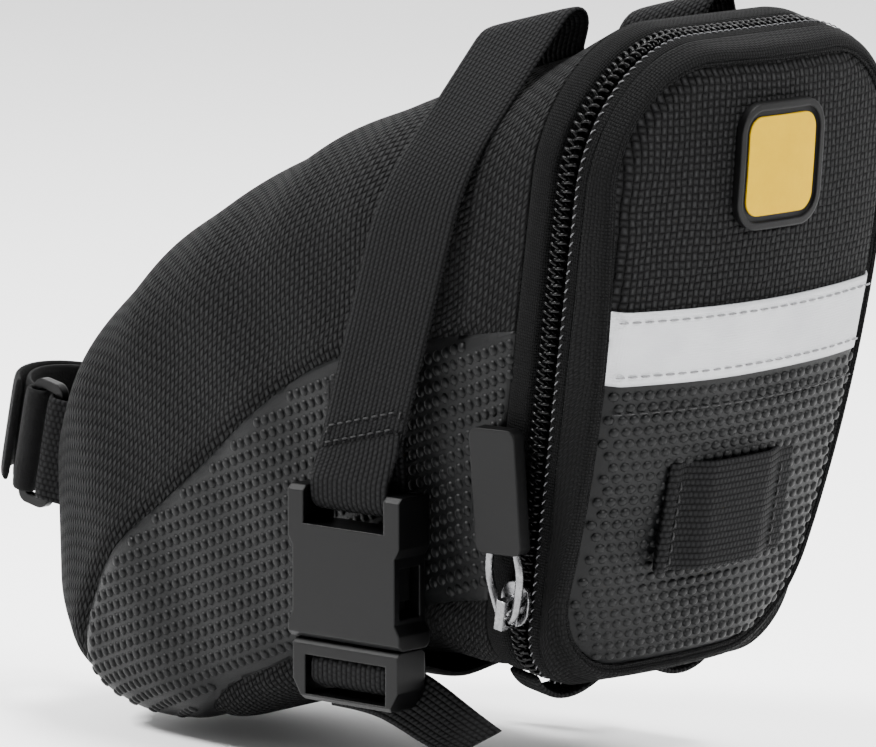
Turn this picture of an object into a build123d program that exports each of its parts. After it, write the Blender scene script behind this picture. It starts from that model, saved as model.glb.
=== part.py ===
"""Strap-mount wedge saddle bag: textile shell, zipped lid, buckles and straps.

Frame: +X to the rear, +Z up, -Y the left side, millimetres.
The origin is midway between the two saddle rails, where the straps hook over them.
"""
from build123d import *
from math import acos, atan2, cos, hypot, radians, sin, sqrt
import os

os.makedirs("parts", exist_ok=True)

# ---------------------------------------------------------------- driving dimensions
# Saddle rails that the bag hangs from
rail_d = 7.0
rail_spacing = 44.0
rail_slope = 14.0
rail_fit = 0.1

# Textile layers
wall = 2.2
lining_t = 0.5
webbing_w = 20.0
webbing_t = 1.3
seat_gap = 0.3

# Rim outline, in the leaning plane of the zipper
zip_x = 27.4
zip_lean = 0.19
rim_top = 3.0
rim_bottom = -126.0
rim_top_half = 46.0
rim_bottom_half = 37.5
rim_top_r = 27.0
rim_bottom_r = 14.0

# Zipper
zip_gap = 1.4
coil_w = 1.5
coil_t = 2.4
zip_stop_half = 20.0
tape_w = 8.0
tape_t = 1.4
slider_z = -107.0
slider_len = 9.0
slider_w = 7.0
slider_plate = 1.1
slide_clear = 0.25
pull_w = 11.5
pull_len = 24.5
pull_t = 3.0
link_wire = 1.6
link_w = 8.5
link_len = 15.5
pull_lean = 12.0
bail_room = 0.55
bail_half = 1.0

# Lid
lid_depth = 11.0
dome_rise = 6.5
dome_z = -55.0
band_t = 1.6
panel_t = 2.4
stiffener_t = 1.2
strip_top = -46.3
strip_w = 14.4
strip_t = 0.5
loop_w = 36.0
loop_h = 22.0
loop_top = -77.0
loop_room = 2.4
badge_w = 25.0
badge_h = 24.0
badge_z = -20.0
badge_t = 1.6

# Side-release buckles
buckle_x = -29.0
buckle_y = 44.6
buckle_w = 29.0
buckle_t = 9.0
socket_top = -88.0
socket_len = 30.0
buckle_wall = 1.6
plug_len = 12.0
prong_w = 3.2
prong_len = 17.0
strap_lean = 0.303
tail_len = 28.0

# Seat-post strap
post_tilt = 12.0
post_band_w = 22.0
post_half = 12.5
post_depth = 11.0
post_t = 1.8
ring_wire = 2.0
eye_t = 1.2

# Small sizes that go with the above
channel_half = 18.0
channel_room = 0.5
side_seam_y = 8.0
bar_corner = 0.71
dome_back = 34.0
dome_reach = 54.0
dome_arc = 22.0
lid_tape_end = 5.2
piping_w = 1.3
piping_rise = 0.4
pocket_t = 0.4
pocket_half = 30.0
pocket_low = -100.0
pocket_high = -50.0
loop_seam = 4.0
badge_corner = 6.0
badge_rim = 1.4
badge_floor = 0.9
end_tab_y = 16.0
end_tab_w = 23.0
strap_shoulder_r = 27.5
strap_shoulder_z = -32.0
strap_straight_z = -80.0
foot_drop = 1.2
foot_r = 1.1
foot_len = 9.0
bar_t = 3.4
bar_h = 3.2
slot_h = 3.0
guide_half = 1.6
prong_root = 8.4
prong_gap = 0.45
anchor_y = 18.0
lower_strap_z = -125.9
tail_drop = 0.3
tail_start = 2.0
plug_recess = 1.9
tail_twist = 33.0
tail_sag = 1.8
post_x = -148.5
post_z = -94.5
post_reach = 30.0
ring_l = 8.5
flap_back = 0.5
flap_end = 3.0
flap_wrap = 60.0

# Sections of the body ahead of the zipper tape, rear to nose:
# bottom x, bottom z, top x, top z, top half width, bottom half width, top radius, bottom radius
body_sections = [
    (-19.0, -123.6, -2.5, -5.4, 43.3, 36.6, 26.5, 18.5),
    (-36.0, -125.0, -27.0, -12.2, 40.5, 35.5, 26.0, 20.0),
    (-68.0, -138.5, -62.0, -25.4, 36.5, 33.0, 25.0, 18.0),
    (-96.0, -146.0, -94.0, -42.0, 32.5, 30.0, 23.0, 17.0),
    (-119.0, -145.5, -119.5, -61.5, 27.5, 26.5, 20.0, 16.0),
    (-135.0, -133.5, -135.0, -82.0, 19.0, 19.0, 13.0, 12.0),
    (-141.5, -120.5, -141.5, -96.5, 11.5, 11.5, 8.0, 8.0),
]

# Seams of the side, as seen from the side (x, z)
upper_seam = [(14, -53), (-15, -58), (-50, -68), (-90, -96), (-113, -114), (-122, -130), (-124, -156)]
lower_seam = [(14, -106), (-12, -109.5), (-55, -126), (-87, -141.5), (-102, -156)]

# ---------------------------------------------------------------- planes and shared forms
zip_normal = (1, 0, -zip_lean)
zip_plane = Plane(origin=(zip_x, 0, 0), x_dir=(0, 1, 0), z_dir=zip_normal)
zip_scale = sqrt(1 + zip_lean**2)
rail_dir = (cos(radians(rail_slope)), 0, sin(radians(rail_slope)))
rail_plane = Plane(origin=(0, 0, 0), x_dir=(0, 1, 0), z_dir=rail_dir)
rail_bore = rail_d / 2 + rail_fit
bag_half = 60.0


def save(builder, label):
    """Name a finished sub-part and write its STEP file."""
    builder.part.label = label
    export_step(builder.part, f"parts/{label}.step")


def save_mirrored(builder, label):
    """Write the right-hand twin of a left-hand sub-part."""
    with BuildPart() as twin:
        mirror(builder.part, about=Plane.XZ)
    save(twin, label)


def rounded_quad(top_half, bottom_half, top, bottom, top_r, bottom_r):
    """Face of four sides with its upper and lower corners rounded."""
    corners = [(-bottom_half, bottom), (bottom_half, bottom), (top_half, top), (-top_half, top)]
    with BuildSketch() as quad:
        with BuildLine():
            FilletPolyline(*corners, radius=[bottom_r, bottom_r, top_r, top_r], close=True)
        make_face()
    return quad.sketch


def rim_face(inset):
    """The rim outline, shrunk evenly by inset."""
    return rounded_quad(
        rim_top_half - inset,
        rim_bottom_half - inset,
        rim_top - inset,
        rim_bottom + inset,
        rim_top_r - inset,
        rim_bottom_r - inset,
    )


def rim_ring(start, end, outer_inset, inner_inset):
    """Band that follows the rim outline, between two depths normal to the zipper plane."""
    with BuildPart() as ring:
        with BuildSketch(zip_plane.offset(start)):
            add(rim_face(outer_inset))
        extrude(amount=end - start)
        with BuildSketch(zip_plane.offset(start)):
            add(rim_face(inner_inset))
        extrude(amount=end - start, mode=Mode.SUBTRACT)
    return ring.part


def body_form(inset):
    """Smooth wedge of the body, shrunk by inset: rim section, then the listed sections."""
    with BuildPart() as form:
        with BuildSketch(zip_plane.offset(-tape_w)):
            add(rim_face(inset))
        for bx, bz, tx, tz, top_half, bottom_half, top_r, bottom_r in body_sections:
            height = hypot(tx - bx, tz - bz)
            nose = inset if bx == body_sections[-1][0] else 0
            centre = ((bx + tx) / 2 + nose, 0, (bz + tz) / 2)
            plane = Plane(origin=centre, x_dir=(0, 1, 0), z_dir=(tz - bz, 0, bx - tx))
            outline = rounded_quad(
                top_half - inset,
                bottom_half - inset,
                height / 2 - inset,
                inset - height / 2,
                top_r - inset,
                bottom_r - inset,
            )
            with BuildSketch(plane):
                add(outline)
        loft()
    return form.part


def side_prism(points, y_from, y_to, seam_points):
    """Solid between two values of y whose side view is a seam curve closed by straight lines."""
    with BuildPart() as prism:
        with BuildSketch(Plane(origin=(0, y_to, 0), x_dir=(1, 0, 0), z_dir=(0, -1, 0))):
            with BuildLine():
                Spline(*seam_points)
                Polyline(seam_points[-1], *points, seam_points[0])
            make_face()
        extrude(amount=y_to - y_from)
    return prism.part


def dome_block(depth):
    """Block whose rear face is the lid's crowned surface, moved inward by depth."""
    tall = (rim_top - rim_bottom) / 2
    side_r = (rim_top_half**2 + dome_rise**2) / (2 * dome_rise)
    tall_r = (tall**2 + dome_rise**2) / (2 * dome_rise)
    peak = lid_depth + dome_rise
    sag = side_r - sqrt((side_r - depth) ** 2 - dome_reach**2)
    crown = zip_plane.from_local_coords(Vector(0, dome_z * zip_scale, 0))
    axis_origin = zip_plane.from_local_coords(Vector(0, dome_z * zip_scale, peak - tall_r))
    profile_plane = Plane(origin=crown, x_dir=zip_normal, z_dir=zip_plane.y_dir)
    with BuildPart() as block:
        with BuildSketch(profile_plane):
            with BuildLine():
                Line((peak - dome_back, -dome_reach), (peak - sag, -dome_reach))
                ThreePointArc((peak - sag, -dome_reach), (peak - depth, 0), (peak - sag, dome_reach))
                Line((peak - sag, dome_reach), (peak - dome_back, dome_reach))
                Line((peak - dome_back, dome_reach), (peak - dome_back, -dome_reach))
            make_face()
        revolve(axis=Axis(axis_origin, (0, 1, 0)), revolution_arc=dome_arc)
        mirror(about=Plane(origin=crown, z_dir=zip_plane.y_dir))
    return block.part


def dome_layer(outer_depth, inner_depth):
    """Skin of the crowned surface between two depths, before it is cut to an outline."""
    with BuildPart() as layer:
        add(dome_block(outer_depth))
        add(dome_block(inner_depth), mode=Mode.SUBTRACT)
    return layer.part


def lid_column(inset, start):
    """Column of the rim outline that starts at a depth and reaches past the crown."""
    with BuildPart() as column:
        with BuildSketch(zip_plane.offset(start)):
            add(rim_face(inset))
        extrude(amount=lid_depth + dome_rise + 8)
    return column.part


def lid_box(y_half, z_low, z_high, corner=0):
    """Column normal to the zipper plane with a rectangular outline, by height z."""
    with BuildPart() as box:
        with BuildSketch(zip_plane.offset(-2)):
            with Locations((0, (z_low + z_high) / 2 * zip_scale)):
                if corner > 0:
                    RectangleRounded(2 * y_half, (z_high - z_low) * zip_scale, corner)
                else:
                    Rectangle(2 * y_half, (z_high - z_low) * zip_scale)
        extrude(amount=lid_depth + dome_rise + 12)
    return box.part


outer_form = body_form(0)
inner_form = body_form(wall)
lining_form = body_form(wall + lining_t)

# ---------------------------------------------------------------- body panels
upper_region = side_prism([(-220, -156), (-220, 60), (60, 60), (60, -53)], -bag_half, bag_half, upper_seam)
nose_x = upper_seam[-1][0] - 60
side_outline = [(nose_x, upper_seam[-1][1]), (nose_x, 0), (lower_seam[0][0], 0)]
left_region = side_prism(side_outline, -bag_half, -side_seam_y, lower_seam)

with BuildPart() as body_wall:
    add(outer_form)
    add(inner_form, mode=Mode.SUBTRACT)

with BuildPart() as upper_shell:
    add(body_wall.part)
    add(upper_region, mode=Mode.INTERSECT)
    with BuildSketch(rail_plane.offset(-channel_half)):
        with Locations((-rail_spacing / 2, 0), (rail_spacing / 2, 0)):
            Circle(rail_bore + channel_room)
    extrude(amount=2 * channel_half, mode=Mode.SUBTRACT)
save(upper_shell, "upper_shell")

with BuildPart() as lower_wall:
    add(body_wall.part)
    add(upper_region, mode=Mode.SUBTRACT)

with BuildPart() as left_side_panel:
    add(lower_wall.part)
    add(left_region, mode=Mode.INTERSECT)
save(left_side_panel, "left_side_panel")
save_mirrored(left_side_panel, "right_side_panel")

with BuildPart() as bottom_panel:
    add(lower_wall.part)
    add(left_region, mode=Mode.SUBTRACT)
    add(mirror(left_region, about=Plane.XZ, mode=Mode.PRIVATE), mode=Mode.SUBTRACT)
save(bottom_panel, "bottom_panel")

with BuildPart() as inner_lining:
    add(inner_form)
    add(lining_form, mode=Mode.SUBTRACT)
save(inner_lining, "inner_lining")

# ---------------------------------------------------------------- zipper on the body
coil_start = zip_gap / 2 + coil_w

with BuildPart() as body_zipper_tape:
    add(rim_ring(-tape_w, -coil_start, 0, tape_t))
save(body_zipper_tape, "body_zipper_tape")


def zipper_coil(start, end):
    """Coil strip along the rim, open across the hinge at the bottom."""
    with BuildPart() as coil:
        add(rim_ring(start, end, 0, coil_t))
        with BuildSketch(zip_plane.offset(-tape_w)):
            with Locations((0, rim_bottom)):
                Rectangle(2 * zip_stop_half, 4 * coil_t)
        extrude(amount=2 * tape_w, mode=Mode.SUBTRACT)
    return coil


save(zipper_coil(-coil_start, -zip_gap / 2), "body_zipper_coil")

with BuildPart() as lid_hinge_strip:
    add(rim_ring(-coil_start, coil_start, 0, tape_t))
    with BuildSketch(zip_plane.offset(-tape_w)):
        with Locations((0, rim_bottom)):
            Rectangle(2 * zip_stop_half - 2 * seat_gap, 4 * coil_t)
    extrude(amount=2 * tape_w, mode=Mode.INTERSECT)
save(lid_hinge_strip, "lid_hinge_strip")

with BuildPart() as left_zipper_end_tab:
    add(rim_ring(-tape_w + 0.5, -zip_gap / 2, -webbing_t - 0.2, -0.2))
    with BuildSketch(zip_plane.offset(-tape_w)):
        with Locations((-end_tab_y, rim_bottom)):
            Rectangle(end_tab_w, 2 * rim_bottom_r)
    extrude(amount=2 * tape_w, mode=Mode.INTERSECT)
save(left_zipper_end_tab, "left_zipper_end_tab")
save_mirrored(left_zipper_end_tab, "right_zipper_end_tab")

# ---------------------------------------------------------------- lid
save(zipper_coil(zip_gap / 2, coil_start), "lid_zipper_coil")

with BuildPart() as lid_zipper_tape:
    add(rim_ring(coil_start, lid_tape_end, 0, tape_t))
save(lid_zipper_tape, "lid_zipper_tape")

with BuildPart() as lid_band:
    add(lid_column(0, lid_tape_end))
    add(lid_column(band_t, lid_tape_end), mode=Mode.SUBTRACT)
    add(dome_block(0), mode=Mode.INTERSECT)
save(lid_band, "lid_band")

with BuildPart() as lid_piping:
    add(lid_column(band_t, lid_tape_end))
    add(lid_column(band_t + piping_w, lid_tape_end), mode=Mode.SUBTRACT)
    add(dome_layer(-piping_rise, panel_t), mode=Mode.INTERSECT)
save(lid_piping, "lid_piping")

panel_column = lid_column(band_t + piping_w, 0)
panel_split = strip_top - strip_w / 2
with BuildPart() as lid_upper_panel:
    add(dome_layer(0, panel_t))
    add(panel_column, mode=Mode.INTERSECT)
    add(lid_box(bag_half, panel_split, 30), mode=Mode.INTERSECT)
save(lid_upper_panel, "lid_upper_panel")

with BuildPart() as lid_lower_panel:
    add(dome_layer(0, panel_t))
    add(panel_column, mode=Mode.INTERSECT)
    add(lid_box(bag_half, 2 * rim_bottom, panel_split), mode=Mode.INTERSECT)
save(lid_lower_panel, "lid_lower_panel")

with BuildPart() as lid_stiffener:
    add(dome_layer(panel_t, panel_t + stiffener_t))
    add(lid_column(band_t + piping_w + 1, 0), mode=Mode.INTERSECT)
save(lid_stiffener, "lid_stiffener")

pocket_depth = panel_t + stiffener_t
with BuildPart() as lid_mesh_pocket:
    add(dome_layer(pocket_depth, pocket_depth + pocket_t))
    add(lid_box(pocket_half, pocket_low, pocket_high, 8), mode=Mode.INTERSECT)
save(lid_mesh_pocket, "lid_mesh_pocket")

with BuildPart() as reflective_strip:
    add(dome_layer(-strip_t, 0))
    add(lid_column(band_t + piping_w + 0.4, 0), mode=Mode.INTERSECT)
    add(lid_box(bag_half, strip_top - strip_w, strip_top), mode=Mode.INTERSECT)
save(reflective_strip, "reflective_strip")

with BuildPart() as loop_passage:
    add(dome_layer(-loop_room, 0))
    add(lid_box(loop_w / 2 - loop_seam, loop_top - 2 * loop_h, loop_top + loop_h), mode=Mode.INTERSECT)

with BuildPart() as light_loop:
    add(dome_layer(-loop_room - webbing_t, 0))
    add(lid_box(loop_w / 2, loop_top - loop_h, loop_top), mode=Mode.INTERSECT)
    add(loop_passage.part, mode=Mode.SUBTRACT)
save(light_loop, "light_loop")


def badge_column(edge):
    """Column of the badge outline, brought in by an edge width."""
    half_h = badge_h / 2 - edge
    return lid_box(badge_w / 2 - edge, badge_z - half_h, badge_z + half_h, badge_corner - edge)


with BuildPart() as badge_recess:
    add(dome_layer(-badge_t, -badge_floor))
    add(badge_column(badge_rim), mode=Mode.INTERSECT)

with BuildPart() as badge:
    add(dome_layer(-badge_t, 0))
    add(badge_column(0), mode=Mode.INTERSECT)
    add(badge_recess.part, mode=Mode.SUBTRACT)
save(badge, "badge")

with BuildPart() as badge_inset:
    add(dome_layer(-badge_t + 0.3, -badge_floor))
    add(badge_column(badge_rim + 1.2), mode=Mode.INTERSECT)
save(badge_inset, "badge_inset")

# ---------------------------------------------------------------- slider and pull
side_run = rim_top - rim_bottom
side_slant = (rim_top_half - rim_bottom_half) / side_run
slider_v = slider_z * zip_scale
slider_y = -(rim_bottom_half + side_slant * (slider_v - rim_bottom))
chain_out = zip_plane.from_local_coords(Vector(-1, -side_slant, 0)) - zip_plane.origin
slider_plane = Plane(
    origin=zip_plane.from_local_coords(Vector(slider_y, slider_v, 0)),
    x_dir=zip_normal,
    z_dir=chain_out,
)
bail_z = slide_clear + slider_plate + link_wire / 2 + 1.0
bail_y = -slider_len / 2 + 2.4


def block(plane, x0, x1, y0, y1, z0, z1):
    """Box given by its limits on a plane's own axes."""
    with BuildPart() as box:
        with BuildSketch(plane.offset(z0)):
            with Locations(((x0 + x1) / 2, (y0 + y1) / 2)):
                Rectangle(x1 - x0, y1 - y0)
        extrude(amount=z1 - z0)
    return box.part


with BuildPart() as slider_body:
    with BuildSketch(slider_plane.offset(slide_clear)):
        SlotOverall(slider_len, slider_w, rotation=90)
    extrude(amount=slider_plate)
    inner_z = -coil_t - slide_clear - slider_plate
    with BuildSketch(slider_plane.offset(inner_z)):
        SlotOverall(slider_len, slider_w, rotation=90)
    extrude(amount=slider_plate)
    web_half = zip_gap / 2 - slide_clear
    add(block(slider_plane, -web_half, web_half, 1, slider_len / 2 - 0.4, inner_z, slide_clear + slider_plate))
    add(block(slider_plane, -bail_half, bail_half, bail_y - 2.4, bail_y + 3.6, slide_clear + slider_plate, bail_z + 2.4))
    bail_hole = Plane(
        origin=slider_plane.from_local_coords(Vector(-4, bail_y, bail_z)),
        x_dir=slider_plane.y_dir,
        z_dir=slider_plane.x_dir,
    )
    with BuildSketch(bail_hole):
        Circle(link_wire * bar_corner + bail_room)
    extrude(amount=8, mode=Mode.SUBTRACT)
save(slider_body, "slider_body")

pull_plane = Plane(
    origin=slider_plane.from_local_coords(Vector(0, bail_y, bail_z)),
    x_dir=slider_plane.x_dir * cos(radians(pull_lean)) + slider_plane.y_dir * sin(radians(pull_lean)),
    z_dir=slider_plane.z_dir,
)
wire_r = link_wire / 2
with BuildPart() as pull_link:
    with BuildSketch(pull_plane.offset(-wire_r)):
        with Locations((0, (link_len - link_wire) / 2)):
            RectangleRounded(link_w, link_len, 2.2)
            RectangleRounded(link_w - 2 * link_wire, link_len - 2 * link_wire, 0.7, mode=Mode.SUBTRACT)
    extrude(amount=link_wire)
save(pull_link, "pull_link")

cover_start = link_len - link_wire - 1.6
with BuildPart() as pull_cover:
    with BuildSketch(pull_plane.offset(-pull_t / 2)):
        with Locations((0, cover_start + pull_len / 2)):
            RectangleRounded(pull_w, pull_len, 1.8)
    extrude(amount=pull_t)
    add(pull_link.part, mode=Mode.SUBTRACT)
save(pull_cover, "pull_cover")

# ---------------------------------------------------------------- straps over the rails
shoulder_r = strap_shoulder_r
shoulder_y = -(buckle_y - webbing_t / 2) + shoulder_r
shoulder_z = strap_shoulder_z
rail_y = -rail_spacing / 2
saddle_r = rail_bore + webbing_t / 2
gap_y = rail_y - shoulder_y
gap_z = -shoulder_z
wrap_to = atan2(gap_z, gap_y) + acos((shoulder_r - saddle_r) / hypot(gap_y, gap_z))


def polar(centre_y, centre_z, radius, angle):
    """Point on a circle in the strap's profile plane."""
    return (centre_y + radius * cos(angle), centre_z + radius * sin(angle))


def strap_line():
    """Centre line of a left strap: sewn foot, round the rail, over the shoulder, down the side."""
    foot_z = -rail_bore - foot_drop
    rise_y = rail_y + saddle_r
    wrap_end = polar(rail_y, 0, saddle_r, wrap_to)
    shoulder_start = polar(shoulder_y, shoulder_z, shoulder_r, wrap_to)
    side_y = shoulder_y - shoulder_r
    middle = (wrap_to + radians(180)) / 2
    over_shoulder = polar(shoulder_y, shoulder_z, shoulder_r, middle)
    with BuildLine() as line:
        FilletPolyline((rise_y + foot_len, foot_z), (rise_y, foot_z), (rise_y, 0), radius=foot_r)
        ThreePointArc((rise_y, 0), polar(rail_y, 0, saddle_r, wrap_to / 2), wrap_end)
        Line(wrap_end, shoulder_start)
        ThreePointArc(shoulder_start, over_shoulder, (side_y, shoulder_z))
        Line((side_y, shoulder_z), (side_y, -160))
    return line.line


def strap_centre(z):
    """Fore-and-aft place of the strap's centre line at a height."""
    return buckle_x + strap_lean * (z - strap_straight_z)


half_cut = webbing_w / 2 * sqrt(1 + strap_lean**2)
fold_top = socket_top + 2.6
with BuildPart() as left_strap:
    with BuildSketch(rail_plane.offset(-bag_half)):
        trace(strap_line(), line_width=webbing_t)
    extrude(amount=2 * bag_half)
    with BuildSketch(Plane(origin=(0, 0, 0), x_dir=(1, 0, 0), z_dir=(0, -1, 0))):
        high = 12.0
        mid = strap_straight_z
        with BuildLine():
            Polyline(
                (strap_centre(high) - half_cut, high),
                (strap_centre(high) + half_cut, high),
                (buckle_x + webbing_w / 2, mid),
                (buckle_x + webbing_w / 2, fold_top),
                (buckle_x - webbing_w / 2, fold_top),
                (buckle_x - webbing_w / 2, mid),
                close=True,
            )
        make_face()
    extrude(amount=bag_half, mode=Mode.INTERSECT)
    add(outer_form, mode=Mode.SUBTRACT)
    fold_plane = Plane(origin=(buckle_x, -buckle_y, socket_top), x_dir=(1, 0, 0), z_dir=(0, -1, 0))
    half_web = webbing_w / 2
    bar_z = bar_t / 2 + seat_gap
    add(block(fold_plane, -half_web, half_web, -bar_h - seat_gap - webbing_t, 2.6, -bar_z - webbing_t, bar_z + webbing_t))
    add(block(fold_plane, -half_web, half_web, -bar_h - seat_gap, 2.6 - webbing_t, -bar_z, bar_z), mode=Mode.SUBTRACT)
save(left_strap, "left_strap")
save_mirrored(left_strap, "right_strap")

# ---------------------------------------------------------------- side-release buckles
half_w = buckle_w / 2
half_t = buckle_t / 2
cavity_half = half_w - buckle_wall - 1.2
cavity_t = half_t - buckle_wall
with BuildPart() as left_buckle_socket:
    with BuildSketch(fold_plane.offset(-half_t)):
        with BuildLine():
            Polyline(
                (-half_w, 0),
                (half_w, 0),
                (half_w, -10),
                (half_w - 1.2, -12),
                (half_w - 1.2, -25),
                (half_w, -27),
                (half_w, -socket_len),
                (-half_w, -socket_len),
                (-half_w, -27),
                (-half_w + 1.2, -25),
                (-half_w + 1.2, -12),
                (-half_w, -10),
                close=True,
            )
        make_face()
    extrude(amount=buckle_t)
    chamfer(left_buckle_socket.edges().filter_by(Axis.X), 1.0)
    slot_half = half_web + 0.5
    slot_y = -bar_h - 4.2
    add(block(fold_plane, -slot_half, slot_half, slot_y, -bar_h, -half_t, half_t), mode=Mode.SUBTRACT)
    add(block(fold_plane, -slot_half, slot_half, slot_y, 1, bar_t / 2, half_t), mode=Mode.SUBTRACT)
    add(block(fold_plane, -slot_half, slot_half, slot_y, 1, -half_t, -bar_t / 2), mode=Mode.SUBTRACT)
    add(block(fold_plane, -cavity_half, cavity_half, -socket_len, -11, -cavity_t, cavity_t), mode=Mode.SUBTRACT)
    add(block(fold_plane, -half_w, half_w, -24, -14, -cavity_t, cavity_t), mode=Mode.SUBTRACT)
save(left_buckle_socket, "left_buckle_socket")
save_mirrored(left_buckle_socket, "right_buckle_socket")

plug_top = -socket_len - 0.4
plug_bottom = plug_top - plug_len
plug_half = half_w - 0.8
lower_slot = plug_top - 3.0
tail_slot = lower_slot - slot_h - 1.8
with BuildPart() as left_buckle_plug:
    with BuildSketch(fold_plane.offset(-half_t + 0.5)):
        with BuildLine():
            Polyline(
                (-plug_half, plug_top),
                (plug_half, plug_top),
                (plug_half, plug_bottom + 4),
                (plug_half - 2.5, plug_bottom),
                (-plug_half + 2.5, plug_bottom),
                (-plug_half, plug_bottom + 4),
                close=True,
            )
        make_face()
    extrude(amount=buckle_t - 1)
    chamfer(left_buckle_plug.edges().filter_by(Axis.X), 0.9)
    for top in (lower_slot, tail_slot):
        add(block(fold_plane, -slot_half, slot_half, top - slot_h, top, -half_t, half_t), mode=Mode.SUBTRACT)
    recess_z = half_t - 0.5 - plug_recess
    add(block(fold_plane, -slot_half, slot_half, tail_slot - slot_h, lower_slot, recess_z, half_t), mode=Mode.SUBTRACT)
    guide_z = cavity_t - 0.6
    add(block(fold_plane, -guide_half, guide_half, plug_top, -15, -guide_z, guide_z))
save(left_buckle_plug, "left_buckle_plug")
save_mirrored(left_buckle_plug, "right_buckle_plug")


def prong(side):
    """One latch arm with its thumb pad; side is -1 in front, +1 behind."""
    arm_in = prong_root - prong_w / 2
    arm_out = prong_root + prong_w / 2
    pad_out = cavity_half - 0.45
    root_y = plug_top + prong_gap
    tip_y = root_y + prong_len
    with BuildPart() as arm:
        add(block(fold_plane, *sorted((side * arm_in, side * arm_out)), root_y, tip_y - 1, -guide_z, guide_z))
        add(block(fold_plane, *sorted((side * (arm_in - 0.4), side * pad_out)), tip_y - 8, tip_y, -guide_z, guide_z))
    return arm


for side, place in ((-1, "front"), (1, "rear")):
    left_prong = prong(side)
    save(left_prong, f"left_{place}_prong")
    save_mirrored(left_prong, f"right_{place}_prong")

# ---------------------------------------------------------------- lower straps and tails
anchor_plane = Plane(origin=(buckle_x - webbing_w / 2, 0, 0), x_dir=(0, 1, 0), z_dir=(1, 0, 0))
slot_mid = socket_top + lower_slot - slot_h / 2
with BuildPart() as left_lower_strap:
    with BuildSketch(anchor_plane):
        with BuildLine():
            FilletPolyline(
                (-buckle_y - 1.5, slot_mid),
                (-buckle_y + 6.5, slot_mid),
                (-anchor_y - 8, lower_strap_z),
                (-anchor_y + 8, lower_strap_z + 1.5),
                radius=[3, 8],
            )
        trace(line_width=webbing_t)
    extrude(amount=webbing_w)
    add(outer_form, mode=Mode.SUBTRACT)
save(left_lower_strap, "left_lower_strap")
save_mirrored(left_lower_strap, "right_lower_strap")

tail_mid = socket_top + tail_slot - slot_h / 2
tail_across = Vector(0, cos(radians(tail_twist)), sin(radians(tail_twist)))


def strap_tail(heading):
    """Free end of a left strap, hanging to the rear (1) or to the front (-1)."""
    along = Vector(heading, 0, -tail_drop).normalized()
    tail_plane = Plane(
        origin=(buckle_x, -buckle_y + half_t, tail_mid - tail_sag),
        x_dir=along,
        z_dir=along.cross(tail_across),
    )
    slot_depths = (tail_slot - slot_h / 2 + d for d in (-0.6, 0.7))
    with BuildPart() as tail:
        add(block(fold_plane, -half_web, half_web, *slot_depths, -half_t - 1.4, half_t + 1))
        add(block(tail_plane, -tail_start, tail_len, -half_web * 0.6, half_web * 0.6, -webbing_t / 2, webbing_t / 2))
        add(left_buckle_plug.part, mode=Mode.SUBTRACT)
    return tail


save(strap_tail(1), "left_strap_tail")
save_mirrored(strap_tail(-1), "right_strap_tail")

# ---------------------------------------------------------------- seat-post strap
post_sin = sin(radians(post_tilt))
post_cos = cos(radians(post_tilt))
post_plane = Plane(origin=(post_x, 0, post_z), x_dir=(post_cos, 0, -post_sin), z_dir=(post_sin, 0, post_cos))
arc_x = post_half - post_depth
band_half = post_band_w / 2
front_bar = arc_x - 2.0
rear_bar = front_bar + ring_l - ring_wire
eye_r = ring_wire * bar_corner + slide_clear


def post_band(path):
    """Band of webbing along a path in the plane across the seat post."""
    with BuildPart() as band:
        with BuildSketch(post_plane.offset(-band_half)):
            trace(path, line_width=post_t)
        extrude(amount=post_band_w)
    return band.part


def eye(x):
    """Fold of webbing round a bar of the ring."""
    with BuildPart() as fold:
        with BuildSketch(post_plane.offset(-band_half)):
            with Locations((x, -post_half)):
                Circle(eye_r + eye_t)
                Circle(eye_r, mode=Mode.SUBTRACT)
        extrude(amount=post_band_w)
    return fold.part


with BuildLine() as loop_path:
    Line((post_reach, post_half), (arc_x, post_half))
    ThreePointArc((arc_x, post_half), (arc_x - post_half, 0), (arc_x, -post_half))

with BuildPart() as post_strap:
    add(post_band(loop_path.line))
    add(eye(front_bar))
    with BuildSketch(post_plane.offset(-band_half - 1)):
        with Locations((front_bar, -post_half)):
            Circle(eye_r)
    extrude(amount=post_band_w + 2, mode=Mode.SUBTRACT)
    add(outer_form, mode=Mode.SUBTRACT)
save(post_strap, "post_strap")

with BuildLine() as tab_path:
    Line((post_reach, -post_half), (rear_bar + eye_r, -post_half))

with BuildPart() as post_ring_tab:
    add(post_band(tab_path.line))
    add(eye(rear_bar))
    add(outer_form, mode=Mode.SUBTRACT)
save(post_ring_tab, "post_ring_tab")

ring_plane = Plane(
    origin=post_plane.from_local_coords(Vector((front_bar + rear_bar) / 2, -post_half, 0)),
    x_dir=post_plane.x_dir,
    z_dir=(0, -1, 0),
)
with BuildPart() as post_ring:
    with BuildSketch(ring_plane.offset(-ring_wire / 2)):
        RectangleRounded(ring_l, post_band_w + 2 * ring_wire + 1, 2.5)
        RectangleRounded(ring_l - 2 * ring_wire, post_band_w + 1, 0.8, mode=Mode.SUBTRACT)
    extrude(amount=ring_wire)
save(post_ring, "post_ring")

flap_r = post_half + post_t + seat_gap


with BuildLine() as flap_path:
    flap_x = arc_x - flap_back
    flap_start = polar(flap_x, 0, flap_r, radians(180 + flap_wrap))
    ThreePointArc(flap_start, (flap_x - flap_r, 0), (flap_x, flap_r))
    Line((flap_x, flap_r), (flap_end, flap_r))

with BuildPart() as post_strap_flap:
    add(post_band(flap_path.line))
save(post_strap_flap, "post_strap_flap")
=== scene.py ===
"""Looks of the wedge saddle bag: fabric shell, zipped lid, webbing, buckles and badge."""
from math import acos, atan2, cos, hypot, pi, radians, sin, sqrt

import bpy
import numpy as np
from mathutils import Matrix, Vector
from mathutils.bvhtree import BVHTree


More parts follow.
